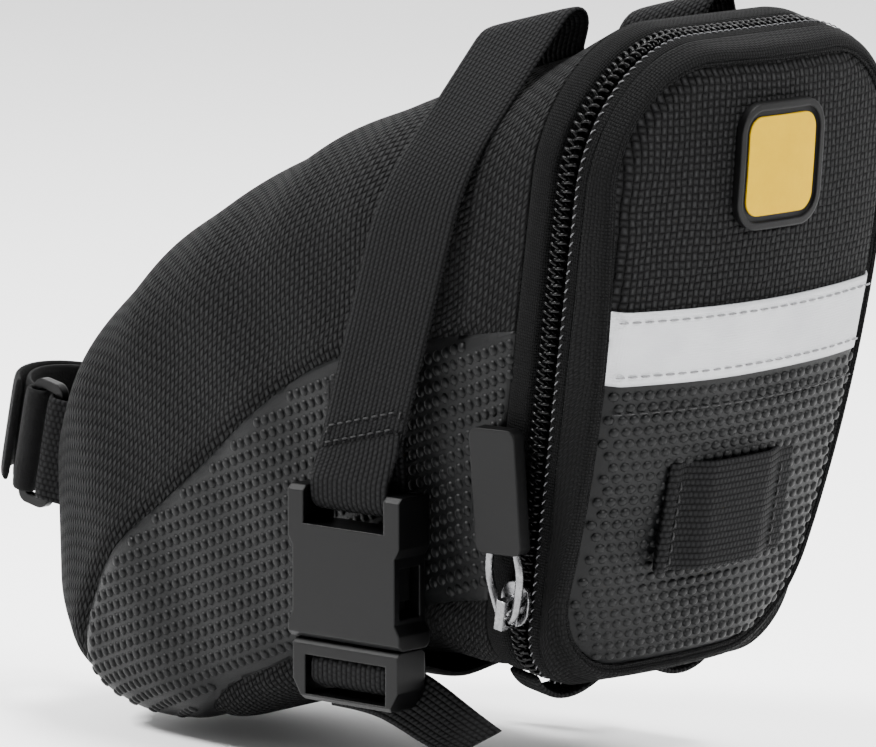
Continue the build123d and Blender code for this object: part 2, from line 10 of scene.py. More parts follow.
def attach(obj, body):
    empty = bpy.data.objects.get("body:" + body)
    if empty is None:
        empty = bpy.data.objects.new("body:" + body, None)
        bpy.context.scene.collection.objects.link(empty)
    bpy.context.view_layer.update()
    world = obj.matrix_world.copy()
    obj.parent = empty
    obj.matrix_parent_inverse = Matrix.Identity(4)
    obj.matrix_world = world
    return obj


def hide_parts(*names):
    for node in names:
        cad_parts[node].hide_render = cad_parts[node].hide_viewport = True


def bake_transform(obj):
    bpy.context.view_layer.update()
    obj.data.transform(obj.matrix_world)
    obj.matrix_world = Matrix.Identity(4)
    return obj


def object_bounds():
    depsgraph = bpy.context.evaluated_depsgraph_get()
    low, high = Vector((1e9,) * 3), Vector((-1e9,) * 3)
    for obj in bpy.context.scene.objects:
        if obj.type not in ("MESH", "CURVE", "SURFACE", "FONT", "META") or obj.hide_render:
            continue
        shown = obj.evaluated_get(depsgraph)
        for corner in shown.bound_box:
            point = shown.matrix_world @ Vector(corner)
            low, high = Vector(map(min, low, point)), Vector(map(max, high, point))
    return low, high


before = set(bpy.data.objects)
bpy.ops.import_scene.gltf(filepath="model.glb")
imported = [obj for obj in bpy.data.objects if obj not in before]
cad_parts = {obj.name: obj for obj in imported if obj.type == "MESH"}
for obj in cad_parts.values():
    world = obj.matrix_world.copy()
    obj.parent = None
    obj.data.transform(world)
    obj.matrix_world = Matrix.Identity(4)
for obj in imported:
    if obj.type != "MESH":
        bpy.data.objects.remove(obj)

cad_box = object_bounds()
MM = 0.001

# ---------------------------------------------------------------- sizes shared with the frame, mm
ZIP_X = 27.4
ZIP_LEAN = 0.19
ZIP_SCALE = sqrt(1 + ZIP_LEAN**2)
ZIP_NORMAL = np.array([1, 0, -ZIP_LEAN]) / ZIP_SCALE
ZIP_UP = np.array([ZIP_LEAN, 0, 1]) / ZIP_SCALE
ZIP_ORIGIN = np.array([ZIP_X, 0, 0])
RIM = dict(top_half=46.0, bottom_half=37.5, top=3.0, bottom=-126.0, top_r=27.0, bottom_r=14.0)
TAPE_W = 8.0
COIL_EDGE = 2.2
LID_DEPTH = 11.0
DOME_RISE = 6.5
DOME_V = -55.0 * ZIP_SCALE
CREASE = 3.6
CORNER_EASE = 9.0
FOLD_DEPTH = 1.7
FOLD_REACH = 1.7
STRIP_TOP = -46.3 * ZIP_SCALE
STRIP_LOW = STRIP_TOP - 14.4 * ZIP_SCALE
PANEL_SPLIT = (STRIP_TOP + STRIP_LOW) / 2
LOOP_W = 37.0
LOOP_H = 22.0
LOOP_V = -88.0 * ZIP_SCALE
BODY_SECTIONS = [
    (-19.0, -123.6, -2.5, -5.4, 43.3, 36.6, 26.5, 18.5),
    (-36.0, -125.0, -27.0, -12.2, 40.5, 35.5, 26.0, 20.0),
    (-68.0, -138.5, -62.0, -25.4, 36.5, 33.0, 25.0, 18.0),
    (-96.0, -146.0, -94.0, -42.0, 32.5, 30.0, 23.0, 17.0),
    (-119.0, -145.5, -119.5, -61.5, 27.5, 26.5, 20.0, 16.0),
    (-135.0, -133.5, -135.0, -82.0, 19.0, 19.0, 13.0, 12.0),
    (-141.5, -120.5, -141.5, -96.5, 11.5, 11.5, 8.0, 8.0),
]
UPPER_SEAM = [(14, -53), (-15, -58), (-50, -68), (-90, -96), (-113, -114), (-122, -130), (-124, -156)]
LOWER_SEAM = [(14, -106), (-12, -109.5), (-55, -126), (-87, -141.5), (-102, -156)]
SIDE_SEAM_Y = 8.0

RAIL_SLOPE = radians(14)
RAIL_Y = -22.0
RAIL_BORE = 3.6
DENT_REACH = 4.6
DENT_HALF_LENGTH = 20
DENT_SHARE = 1.15
WEBBING_W = 20.0
WEBBING_T = 1.3
PLUG_SLOT_HALF = 9.6
BUCKLE_X = -29.0
BUCKLE_Y = 44.6
SOCKET_TOP = -88.0
STRAP_LEAN = 0.303
STRAP_STRAIGHT_Z = -80.0
SHOULDER_R = 27.5
SHOULDER_Z = -32.0

POST_TILT = radians(12)
POST_ORIGIN = np.array([-148.5, 0, -94.5])
POST_ALONG = np.array([cos(POST_TILT), 0, -sin(POST_TILT)])
POST_UP = np.array([sin(POST_TILT), 0, cos(POST_TILT)])
POST_HALF = 12.5
POST_ARC_X = 1.5
POST_BAND_W = 22.0
POST_T = 1.8

TOOTH_PITCH = 1.7
SLIDER_Z = -107.0
PULL_LEAN = radians(12)
Y_AXIS = np.array([0.0, 1.0, 0.0])


# ---------------------------------------------------------------- curves and outlines
def spline(points, count):
    """Natural cubic curve through points of any dimension, evenly sampled by its parameter."""
    p = np.asarray(points, float)
    flat = p.reshape(len(p), -1)
    step = np.linalg.norm(np.diff(flat, axis=0), axis=1) + 1e-9
    t = np.concatenate([[0], np.cumsum(step)])
    n = len(p)
    a = np.eye(n)
    rhs = np.zeros_like(flat)
    for i in range(1, n - 1):
        a[i, i - 1], a[i, i], a[i, i + 1] = step[i - 1], 2 * (step[i - 1] + step[i]), step[i]
        rhs[i] = 6 * ((flat[i + 1] - flat[i]) / step[i] - (flat[i] - flat[i - 1]) / step[i - 1])
    m = np.linalg.solve(a, rhs)
    x = np.linspace(0, t[-1], count)
    k = np.clip(np.searchsorted(t, x, side="right") - 1, 0, n - 2)
    h = step[k][:, None]
    lo, hi = (x - t[k])[:, None], (t[k + 1] - x)[:, None]
    out = (
        m[k] * hi**3 / (6 * h)
        + m[k + 1] * lo**3 / (6 * h)
        + (flat[k] / h - m[k] * h / 6) * hi
        + (flat[k + 1] / h - m[k + 1] * h / 6) * lo
    )
    return out.reshape((count,) + p.shape[1:])


def run_length(points):
    """Distance along a row of points."""
    step = np.linalg.norm(np.diff(points, axis=0), axis=1)
    return np.concatenate([[0], np.cumsum(step)])


def resample(points, spacing):
    """The same path with evenly spaced points."""
    s = run_length(points)
    at = np.linspace(0, s[-1], max(2, int(round(s[-1] / spacing)) + 1))
    return np.stack([np.interp(at, s, points[:, i]) for i in range(points.shape[1])], axis=1)


OUTLINE_COUNTS = (16, 22, 64, 32, 16)


def half_outline(top_half, bottom_half, top, bottom, top_r, bottom_r):
    """Right half of a four-sided outline with round corners, from its bottom centre to its top centre."""
    run = hypot(top_half - bottom_half, top - bottom)
    dy, dz = (top_half - bottom_half) / run, (top - bottom) / run
    low = (bottom_half - bottom_r * (1 - dy) / dz, bottom + bottom_r)
    high = (top_half - top_r * (1 + dy) / dz, top - top_r)
    turn = atan2(-dy, dz)

    def line(a, b, n):
        k = np.arange(n)[:, None] / n
        return np.array(a) * (1 - k) + np.array(b) * k

    def arc(c, r, a0, a1, n):
        a = a0 + (a1 - a0) * np.arange(n) / n
        return np.stack([c[0] + r * np.cos(a), c[1] + r * np.sin(a)], axis=1)

    def at(c, r, a):
        return (c[0] + r * cos(a), c[1] + r * sin(a))

    return np.concatenate(
        [
            line((0, bottom), (low[0], bottom), OUTLINE_COUNTS[0]),
            arc(low, bottom_r, -pi / 2, turn, OUTLINE_COUNTS[1]),
            line(at(low, bottom_r, turn), at(high, top_r, turn), OUTLINE_COUNTS[2]),
            arc(high, top_r, turn, pi / 2, OUTLINE_COUNTS[3]),
            line((high[0], top), (0, top), OUTLINE_COUNTS[4]),
            [(0, top)],
        ]
    )


def closed_outline(*sizes):
    """Whole outline: up the left side from the bottom centre, then down the right side."""
    right = half_outline(*sizes)
    left = right * [-1, 1]
    return np.concatenate([left, right[-2:0:-1]])


def rim_outline(inset=0.0, ease=0.0):
    """Rim of the zipper plane, moved in by inset, with its bottom corners eased to a larger radius."""
    return closed_outline(
        RIM["top_half"] - inset,
        RIM["bottom_half"] - inset,
        RIM["top"] - inset,
        RIM["bottom"] + inset,
        RIM["top_r"] - inset,
        RIM["bottom_r"] - inset + ease,
    )


def zip_point(y, v, w):
    """Points of the zipper plane's own frame, in the part's frame."""
    y, v, w = (np.asarray(c, float)[..., None] for c in (y, v, w))
    return ZIP_ORIGIN + y * Y_AXIS + v * ZIP_UP + w * ZIP_NORMAL


def crown(y, v):
    """Height of the lid's crowned face above the zipper plane."""
    tall = (RIM["top"] - RIM["bottom"]) / 2
    side_r = (RIM["top_half"] ** 2 + DOME_RISE**2) / (2 * DOME_RISE)
    tall_r = (tall**2 + DOME_RISE**2) / (2 * DOME_RISE)
    side_sag = side_r - np.sqrt(side_r**2 - np.asarray(y, float) ** 2)
    return LID_DEPTH + DOME_RISE - tall_r + np.sqrt((tall_r - side_sag) ** 2 - (np.asarray(v, float) - DOME_V) ** 2)


def nearest_on(points, path, closed=False):
    """Distance of 2-D points to a path, and which side of it they are on (+ is to the right)."""
    a = path if closed else path[:-1]
    b = np.roll(path, -1, axis=0) if closed else path[1:]
    d = b - a
    size = (d**2).sum(1) + 1e-12
    out = np.empty(len(points))
    for start in range(0, len(points), 4000):
        p = points[start : start + 4000, None, :]
        t = np.clip(((p - a) * d).sum(2) / size, 0, 1)
        gap = p - (a + t[..., None] * d)
        dist = (gap**2).sum(2)
        k = dist.argmin(1)
        rows = np.arange(len(k))
        turn = d[k, 0] * gap[rows, k, 1] - d[k, 1] * gap[rows, k, 0]
        out[start : start + 4000] = np.sqrt(dist[rows, k]) * np.where(turn < 0, 1, -1)
    return out


# ---------------------------------------------------------------- meshes
def make_object(name, verts, faces, uvs, material, body=None, nodes=(), slot=None):
    """Mesh object from millimetre points, in the part's frame, riding on a body."""
    mesh = bpy.data.meshes.new(name)
    mesh.from_pydata((np.asarray(verts, float) * MM).tolist(), [], [list(f) for f in faces])
    layer = mesh.uv_layers.new(name="UVMap")
    index = np.empty(len(mesh.loops), np.int32)
    mesh.loops.foreach_get("vertex_index", index)
    layer.data.foreach_set("uv", np.asarray(uvs, np.float32)[index].ravel())
    mesh.shade_smooth()
    mesh.materials.append(material)
    obj = bpy.data.objects.new(name, mesh)
    bpy.context.scene.collection.objects.link(obj)
    if body:
        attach(obj, body)
    if nodes:
        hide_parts(*nodes)
    return obj


def vertex_normals(verts, faces):
    """Area-weighted normal at each point."""
    normals = np.zeros_like(verts)
    for f in faces:
        p = verts[list(f)]
        n = np.cross(p[1] - p[0], p[2] - p[0])
        if len(f) > 3:
            n = n + np.cross(p[2] - p[0], p[3] - p[0])
        normals[list(f)] += n
    size = np.linalg.norm(normals, axis=1)
    return normals / np.maximum(size, 1e-9)[:, None]


def thicken(verts, faces, uvs, depth):
    """Close a surface into a sheet of a thickness, on the inner side of its normals."""
    verts = np.asarray(verts, float)
    uvs = np.asarray(uvs, float)
    inner = verts - vertex_normals(verts, faces) * depth
    n = len(verts)
    edges = {}
    for f in faces:
        for a, b in zip(f, f[1:] + f[:1]):
            edges[(a, b)] = edges.get((a, b), 0) + 1
    sides = [(b, a, a + n, b + n) for a, b in edges if (b, a) not in edges]
    back = [tuple(i + n for i in reversed(f)) for f in faces]
    return np.concatenate([verts, inner]), list(faces) + back + sides, np.concatenate([uvs, uvs])


def grid_faces(rows, cols, wrap=False):
    """Quads of a grid of points, closed round its columns if asked."""
    faces = []
    for i in range(rows - 1):
        for j in range(cols if wrap else cols - 1):
            k = (j + 1) % cols
            faces.append((i * cols + j, i * cols + k, (i + 1) * cols + k, (i + 1) * cols + j))
    return faces


def clip(data, faces, field):
    """Keep the part of a surface where a field is positive, cut exactly along its zero line."""
    rows = list(data)
    made = {}
    kept = []

    def crossing(a, b):
        key = (a, b) if a < b else (b, a)
        if key not in made:
            t = field[key[0]] / (field[key[0]] - field[key[1]])
            rows.append(data[key[0]] * (1 - t) + data[key[1]] * t)
            made[key] = len(rows) - 1
        return made[key]

    for f in faces:
        inside = [field[i] > 0 for i in f]
        if all(inside):
            kept.append(tuple(f))
            continue
        if not any(inside):
            continue
        out = []
        for i, j, keep_i, keep_j in zip(f, f[1:] + f[:1], inside, inside[1:] + inside[:1]):
            if keep_i:
                out.append(i)
            if keep_i != keep_j:
                out.append(crossing(i, j))
        if len(out) > 2:
            kept.append(tuple(out))
    used = sorted({i for f in kept for i in f})
    place = {old: new for new, old in enumerate(used)}
    return np.array([rows[i] for i in used]), [tuple(place[i] for i in f) for f in kept]


def dome_patch(centre, normal, along, a, b, height):
    """A low oval bump standing on a surface: points and faces."""
    across = np.cross(normal, along)
    ring = [(cos(k * pi / 4), sin(k * pi / 4)) for k in range(8)]
    verts = []
    for scale, lift in ((1.0, -0.15), (0.82, 0.62 * height), (0.42, 0.94 * height)):
        verts += [centre + scale * (a * c * along + b * s * across) + lift * normal for c, s in ring]
    verts.append(centre + height * normal)
    faces = grid_faces(3, 8, wrap=True)
    faces += [(16 + k, 16 + (k + 1) % 8, 24) for k in range(8)]
    return verts, faces


def capsule(start, end, up, radius):
    """One stitch: a short round thread, bowed away from the cloth."""
    arch = 0.25
    axis = end - start
    length = np.linalg.norm(axis)
    along = axis / length
    side = np.cross(along, up)
    side /= np.linalg.norm(side)
    lift = np.cross(side, along)
    verts = []
    sides = 6
    stations = ((0, 0.35, -0.3), (0.12, 0.9, 0.5), (0.5, 1, 1.0), (0.88, 0.9, 0.5), (1, 0.35, -0.3))
    for t, scale, bow in stations:
        centre = start + axis * t + lift * (arch * bow)
        for k in range(sides):
            a = 2 * pi * k / sides
            verts.append(centre + radius * scale * (cos(a) * side + sin(a) * lift))
    faces = grid_faces(len(stations), sides, wrap=True)
    faces.append(tuple(reversed(range(sides))))
    faces.append(tuple(range((len(stations) - 1) * sides, len(stations) * sides)))
    return verts, faces


class Heap:
    """Collects many small shapes into one mesh."""

    def __init__(self):
        self.verts, self.faces, self.uvs = [], [], []

    def add(self, verts, faces, uvs=None):
        base = len(self.verts)
        self.verts += [np.asarray(v, float) for v in verts]
        self.faces += [tuple(i + base for i in f) for f in faces]
        self.uvs += list(uvs) if uvs is not None else [(v[0], v[2]) for v in verts]

    def stitch_row(self, points, ups, length=2.3, gap=0.8, radius=0.22, slant=0.0):
        """Stitches along a path. ups are the cloth's outward directions there."""
        points, ups = np.asarray(points, float), np.asarray(ups, float)
        s = run_length(points)
        count = int(s[-1] // (length + gap))
        for k in range(count):
            a = k * (length + gap) + gap / 2
            p = [np.array([np.interp(d, s, points[:, i]) for i in range(3)]) for d in (a, a + length)]
            up = np.array([np.interp(a, s, ups[:, i]) for i in range(3)])
            up /= np.linalg.norm(up)
            if slant:
                side = np.cross(p[1] - p[0], up)
                side = side / np.linalg.norm(side) * slant
                p = [p[0] - side, p[1] + side]
            self.add(*capsule(p[0] + up * 0.08, p[1] + up * 0.08, up, radius))

    def make(self, name, material, body, nodes=(), slot=None):
        return make_object(name, self.verts, self.faces, self.uvs, material, body, nodes, slot)


class Ribbon:
    """Flat webbing along a path, with its own along, across and outward directions."""

    def __init__(self, centre, half, thickness, outward, samples=13):
        self.c, self.w = np.asarray(centre, float), np.asarray(half, float)
        tangent = np.gradient(self.c, axis=0)
        n = np.cross(tangent, self.w)
        n /= np.linalg.norm(n, axis=1)[:, None]
        self.n = n if np.dot(n[len(n) // 2], outward) > 0 else -n
        self.s = run_length(self.c)
        self.t = thickness
        self.samples = samples

    def at(self, s, a, lift=0.0):
        """Point at a distance along, a share of the half width across, above the outer face."""
        c, w, n = (np.array([np.interp(s, self.s, m[:, i]) for i in range(3)]) for m in (self.c, self.w, self.n))
        n /= np.linalg.norm(n)
        return c + a * w + n * (self.t / 2 + lift), n

    def mesh(self):
        across = np.sin(np.linspace(-pi / 2, pi / 2, self.samples))
        edge = self.t / 2 * (0.35 + 0.65 * np.sqrt(1 - np.abs(across) ** 8))
        loop = [(a, e) for a, e in zip(across, edge)] + [(a, -e) for a, e in zip(across[::-1], edge[::-1])]
        verts, uvs = [], []
        for c, w, n, s in zip(self.c, self.w, self.n, self.s):
            half = np.linalg.norm(w)
            for a, e in loop:
                verts.append(c + a * w + e * n)
                uvs.append((s, a * half))
        cols = len(loop)
        faces = grid_faces(len(self.c), cols, wrap=True)
        for base, turn in ((0, 1), ((len(self.c) - 1) * cols, -1)):
            for k in range(self.samples - 1):
                quad = (base + k, base + k + 1, base + cols - 2 - k, base + cols - 1 - k)
                faces.append(quad if turn < 0 else tuple(reversed(quad)))
        if np.dot(np.cross(np.gradient(self.c, axis=0)[0], self.w[0]), self.n[0]) > 0:
            faces = [tuple(reversed(f)) for f in faces]
        return verts, faces, uvs

    def make(self, name, material, body, nodes=(), slot=None):
        return make_object(name, *self.mesh(), material, body, nodes, slot)

    def cross_stitches(self, heap, s, reach, **sizes):
        """A row of stitches across the webbing at a distance along it."""
        rows = [self.at(s, a) for a in np.linspace(-reach, reach, 24)]
        heap.stitch_row([r[0] for r in rows], [r[1] for r in rows], **sizes)

    def long_stitches(self, heap, s0, s1, a, **sizes):
        """A row of stitches along the webbing at a share of its half width."""
        rows = [self.at(s, a) for s in np.linspace(s0, s1, 40)]
        heap.stitch_row([r[0] for r in rows], [r[1] for r in rows], **sizes)


# ---------------------------------------------------------------- shader parts
class Shade:
    """One node material, built from small calculations."""

    def __init__(self, name, rough=0.6, metal=0.0, sheen=0.0, specular=0.5):
        self.mat = bpy.data.materials.new(name)
        self.mat.use_nodes = True
        self.tree = self.mat.node_tree
        self.out = self.tree.nodes["Principled BSDF"]
        settings = {"Roughness": rough, "Metallic": metal, "Sheen Weight": sheen, "Sheen Roughness": 0.45}
        for socket, value in {**settings, "Specular IOR Level": specular}.items():
            self.out.inputs[socket].default_value = value

    def link(self, a, b):
        self.tree.links.new(a, b)

    def put(self, socket, value):
        if hasattr(value, "is_output"):
            self.link(value, socket)
        else:
            socket.default_value = value

    def calc(self, op, *args):
        node = self.tree.nodes.new("ShaderNodeMath")
        node.operation = op
        for socket, value in zip(node.inputs, args):
            self.put(socket, value)
        return node.outputs[0]

    def add(self, a, b):
        return self.calc("ADD", a, b)

    def mul(self, a, b):
        return self.calc("MULTIPLY", a, b)

    def mix(self, a, share_a, b, share_b):
        """Two values added in fixed shares."""
        return self.add(self.mul(a, share_a), self.mul(b, share_b))

    def wave(self, count):
        """Half a sine wave over each whole step of a count."""
        return self.calc("SINE", self.mul(self.calc("FRACT", count), pi))

    def uv(self):
        node = self.tree.nodes.new("ShaderNodeUVMap")
        node.uv_map = "UVMap"
        split = self.tree.nodes.new("ShaderNodeSeparateXYZ")
        self.link(node.outputs[0], split.inputs[0])
        return node.outputs[0], split.outputs[0], split.outputs[1]

    def place(self):
        """Place on the object, in millimetres."""
        node = self.tree.nodes.new("ShaderNodeTexCoord")
        grow = self.tree.nodes.new("ShaderNodeVectorMath")
        grow.operation = "SCALE"
        self.link(node.outputs["Object"], grow.inputs[0])
        grow.inputs["Scale"].default_value = 1 / MM
        return grow.outputs[0]

    def noise(self, vector, scale, detail=3.0, rough=0.55):
        node = self.tree.nodes.new("ShaderNodeTexNoise")
        self.link(vector, node.inputs["Vector"])
        node.inputs["Scale"].default_value = scale
        node.inputs["Detail"].default_value = detail
        node.inputs["Roughness"].default_value = rough
        return node.outputs[0]

    def ramp(self, value, stops):
        node = self.tree.nodes.new("ShaderNodeValToRGB")
        self.link(value, node.inputs[0])
        band = node.color_ramp
        while len(band.elements) < len(stops):
            band.elements.new(0.5)
        for element, (at, colour) in zip(band.elements, stops):
            element.position = at
            element.color = (*colour, 1) if len(colour) == 3 else colour
        return node.outputs[0]

    def bump(self, height, distance, normal=None):
        node = self.tree.nodes.new("ShaderNodeBump")
        self.link(height, node.inputs["Height"])
        node.inputs["Distance"].default_value = distance * MM
        node.inputs["Strength"].default_value = 1.0
        if normal is not None:
            self.link(normal, node.inputs["Normal"])
        return node.outputs[0]

    def rounded(self, radius):
        """Normal with the edges softly rounded."""
        node = self.tree.nodes.new("ShaderNodeBevel")
        node.samples = 6
        node.inputs["Radius"].default_value = radius * MM
        return node.outputs[0]

    def finish(self, colour, rough=None, normal=None):
        self.link(colour, self.out.inputs["Base Color"])
        if rough is not None:
            self.link(rough, self.out.inputs["Roughness"])
        if normal is not None:
            self.link(normal, self.out.inputs["Normal"])
        return self.mat

    def lerp(self, value, low, high):
        """Numbers from low to high as value goes from 0 to 1."""
        return self.calc("MULTIPLY_ADD", value, high - low, low)

    def plain_weave(self, u, v, pitch_u, pitch_v):
        """Height of a plain weave, 0 to 1: threads that pass over and under each other."""
        cu, cv = self.calc("DIVIDE", u, pitch_u), self.calc("DIVIDE", v, pitch_v)
        su, sv = self.wave(cu), self.wave(cv)
        parity = self.calc("PINGPONG", self.add(self.calc("FLOOR", cu), self.calc("FLOOR", cv)), 1.0)
        warp = self.mul(self.calc("POWER", su, 0.8), self.calc("POWER", sv, 0.3))
        weft = self.mul(self.calc("POWER", sv, 0.8), self.calc("POWER", su, 0.3))
        other = self.mul(self.calc("SUBTRACT", 1.0, parity), weft)
        return self.add(self.mul(parity, warp), other), parity


def woven(name, pitch, dark, light, depth, rough=(0.6, 0.85), pitch_v=None):
    """Woven cloth: threads with their own height and fuzz, slow changes over the panel, random tone, and painted
    highlight and shade by thread height.
    """
    s = Shade(name, specular=0.06)
    vec, u, v = s.uv()
    u = s.add(u, s.lerp(s.noise(vec, 0.09, 2), -0.8, 0.8))
    v = s.add(v, s.lerp(s.noise(vec, 0.07, 2), -0.8, 0.8))
    height, parity = s.plain_weave(u, v, pitch, pitch_v or pitch)
    fibre = s.noise(vec, 3.2 / pitch, 4, 0.7)
    slow = s.noise(vec, 0.03, 2)
    # tone is partly real (fibre and slow noise) and partly painted light: painted highlight on raised threads,
    # painted shade in the gaps.
    tone = s.mul(s.mix(height, 0.75, fibre, 0.3), s.lerp(slow, 0.8, 1.2))
    tone = s.mul(tone, s.lerp(parity, 0.86, 1.08))
    # The ramp's dark end is the painted shade of the gaps, its light end the painted highlight of the raised
    # threads.
    middle = tuple(a * 0.68 + b * 0.32 for a, b in zip(dark, light))
    colour = s.ramp(tone, [(0.15, dark), (0.6, middle), (0.98, light)])
    total = s.add(height, s.mul(fibre, 0.3))
    return s.finish(colour, s.lerp(fibre, *rough), s.bump(total, depth))


def ribbed_webbing(name, dark, light):
    """Webbing: ribs along its length, crossed by small raised threads; raised parts carry painted highlight,
    grooves painted shade.
    """
    rib, tick, depth = 1.25, 1.1, 0.4
    s = Shade(name, specular=0.06)
    vec, u, v = s.uv()
    across = s.calc("DIVIDE", v, rib)
    shifted = s.add(s.calc("DIVIDE", u, tick), s.mul(s.calc("FLOOR", across), 0.5))
    height = s.mul(s.calc("POWER", s.wave(across), 0.7), s.lerp(s.wave(shifted), 0.45, 1.0))
    fibre = s.noise(vec, 3.0, 4, 0.7)
    slow = s.noise(vec, 0.05, 2)
    # tone is partly real (fibre and slow noise) and partly painted light: painted highlight on ribs and ticks,
    # painted shade in the grooves.
    tone = s.mul(s.mix(height, 0.7, fibre, 0.3), s.lerp(slow, 0.85, 1.15))
    colour = s.ramp(tone, [(0.2, dark), (0.95, light)])
    total = s.add(height, s.mul(fibre, 0.25))
    return s.finish(colour, s.lerp(fibre, 0.6, 0.85), s.bump(total, depth))


def moulded(name, dark, light, rough, edge, specular=0.12):
    """Moulded plastic or rubber: fine grain, faint flow marks, softly rounded edges and worn highlights."""
    s = Shade(name, specular=specular)
    vec = s.place()
    slow = s.noise(vec, 0.12, 3)
    grain = s.noise(vec, 5.0, 3, 0.6)
    scuff = s.noise(vec, 0.8, 6, 0.75)
    colour = s.ramp(s.calc("MULTIPLY_ADD", slow, 0.6, s.mul(scuff, 0.4)), [(0.3, dark), (0.75, light)])
    return s.finish(colour, s.lerp(scuff, *rough), s.bump(grain, 0.02, s.rounded(edge)))


def metal(name, colour_low, colour_high):
    """Plated metal with faint draw lines and handling marks."""
    s = Shade(name, metal=1.0)
    vec = s.place()
    marks = s.noise(vec, 1.2, 6, 0.8)
    colour = s.ramp(marks, [(0.3, colour_low), (0.7, colour_high)])
    return s.finish(colour, s.lerp(marks, 0.16, 0.36), s.bump(s.noise(vec, 6.0), 0.01, s.rounded(0.35)))


def vinyl(name):
    """Coated cloth between its raised dots: fine grain, satin, lighter where it is rubbed."""
    s = Shade(name, specular=0.12)
    vec = s.uv()[0]
    grain = s.noise(vec, 2.2, 5, 0.65)
    tone = s.calc("MULTIPLY_ADD", s.noise(vec, 0.04, 3), 0.5, s.mul(grain, 0.5))
    colour = s.ramp(tone, [(0.3, (0.0010, 0.0011, 0.0012)), (0.75, (0.0028, 0.0030, 0.0032))])
    return s.finish(colour, s.lerp(grain, 0.38, 0.6), s.bump(grain, 0.06))


def reflective(name):
    """Silver-grey reflective tape: tiny beads in a cross pattern."""
    s = Shade(name, metal=0.35, specular=0.6)
    vec, u, v = s.uv()
    height = s.plain_weave(u, v, 0.55, 0.55)[0]
    bead = s.noise(vec, 6.0, 3, 0.7)
    tone = s.mix(bead, 0.45, s.noise(vec, 0.06, 3), 0.55)
    colour = s.ramp(tone, [(0.3, (0.27, 0.275, 0.285)), (0.7, (0.40, 0.405, 0.415))])
    return s.finish(colour, s.lerp(bead, 0.34, 0.55), s.bump(height, 0.05))


def thread(name, dark, light):
    """Sewing thread: two twisted plies."""
    s = Shade(name, rough=0.55, specular=0.25)
    vec = s.place()
    twist = s.noise(vec, 2.6, 3)
    return s.finish(s.ramp(twist, [(0.3, dark), (0.7, light)]), s.lerp(twist, 0.4, 0.65), s.bump(twist, 0.05))


def floor_finish(name):
    """Pale matt studio floor with the faintest tone change."""
    s = Shade(name, rough=0.95, specular=0.1)
    slow = s.noise(s.place(), 0.004, 2)
    return s.finish(s.ramp(slow, [(0.3, (0.93, 0.93, 0.93)), (0.7, (0.95, 0.95, 0.95))]))


def pile(name, dark, light):
    """Soft loop pile: short fibres standing every way, with no ribs."""
    s = Shade(name, sheen=0.02, specular=0.1)
    vec = s.uv()[0]
    fibre = s.noise(vec, 1.6, 6, 0.8)
    tone = s.mix(fibre, 0.65, s.noise(vec, 0.35, 3, 0.6), 0.35)
    return s.finish(s.ramp(tone, [(0.35, dark), (0.72, light)]), s.lerp(fibre, 0.75, 0.95), s.bump(tone, 0.7))


# For the woven and webbing finishes, dark is the painted shade in the gaps and light the painted highlight on
# raised threads.
BLACK_WEAVE = woven("woven_nylon", 1.45, (0.0001, 0.0001, 0.0001), (0.0135, 0.0136, 0.0140), 0.95)
FINE_WEAVE = woven("band_cloth", 0.75, (0.0005, 0.0005, 0.0005), (0.0048, 0.0049, 0.0051), 0.26, pitch_v=0.6)
TAPE_CLOTH = woven("tape_cloth", 0.6, (0.0004, 0.0004, 0.0004), (0.0038, 0.0039, 0.0041), 0.2, pitch_v=0.45)
LINING = woven("lining_cloth", 0.35, (0.03, 0.031, 0.033), (0.07, 0.072, 0.075), 0.05, rough=(0.45, 0.6))
VINYL = vinyl("dotted_vinyl")
WEBBING = ribbed_webbing("webbing", (0.0002, 0.0002, 0.0002), (0.0085, 0.0086, 0.0090))
FUZZY = pile("loop_pile", (0.0004, 0.0004, 0.0004), (0.0045, 0.0046, 0.0048))
COIL = moulded("coil_nylon", (0.0006, 0.0006, 0.0007), (0.0018, 0.0018, 0.0019), rough=(0.22, 0.36), edge=0.1)
PLASTIC = moulded("buckle_plastic", (0.0005, 0.0005, 0.0006), (0.0012, 0.0012, 0.0013), rough=(0.3, 0.42), edge=0.5)
RUBBER = moulded("black_rubber", (0.0006, 0.0006, 0.0007), (0.0014, 0.0014, 0.0015), rough=(0.42, 0.56), edge=0.6)
YELLOW = moulded(
    "yellow_rubber", (0.36, 0.215, 0.0002), (0.43, 0.265, 0.0004), rough=(0.5, 0.62), edge=0.4, specular=0.05
)
NICKEL = metal("dark_nickel", (0.07, 0.07, 0.073), (0.20, 0.20, 0.205))
SILVER = reflective("reflective_film")
MESH_CLOTH = thread("mesh_cloth", (0.003, 0.003, 0.0032), (0.010, 0.010, 0.0105))
TAPE_THREAD = thread("tape_thread", (0.10, 0.10, 0.105), (0.22, 0.22, 0.225))
BLACK_THREAD = thread("black_thread", (0.0015, 0.0015, 0.0017), (0.0095, 0.0095, 0.0100))
GREY_THREAD = thread("grey_thread", (0.035, 0.035, 0.037), (0.11, 0.11, 0.115))


# ---------------------------------------------------------------- body shell
def body_section(bx, bz, tx, tz, top_half, bottom_half, top_r, bottom_r):
    """Ring of points of one listed section."""
    height = hypot(tx - bx, tz - bz)
    outline = closed_outline(top_half, bottom_half, height / 2, -height / 2, top_r, bottom_r)
    up = np.array([tx - bx, 0, tz - bz]) / height
    centre = np.array([(bx + tx) / 2, 0, (bz + tz) / 2])
    return centre + outline[:, :1] * Y_AXIS + outline[:, 1:] * up


BODY_ROWS = 124
NOSE_ROWS = 10


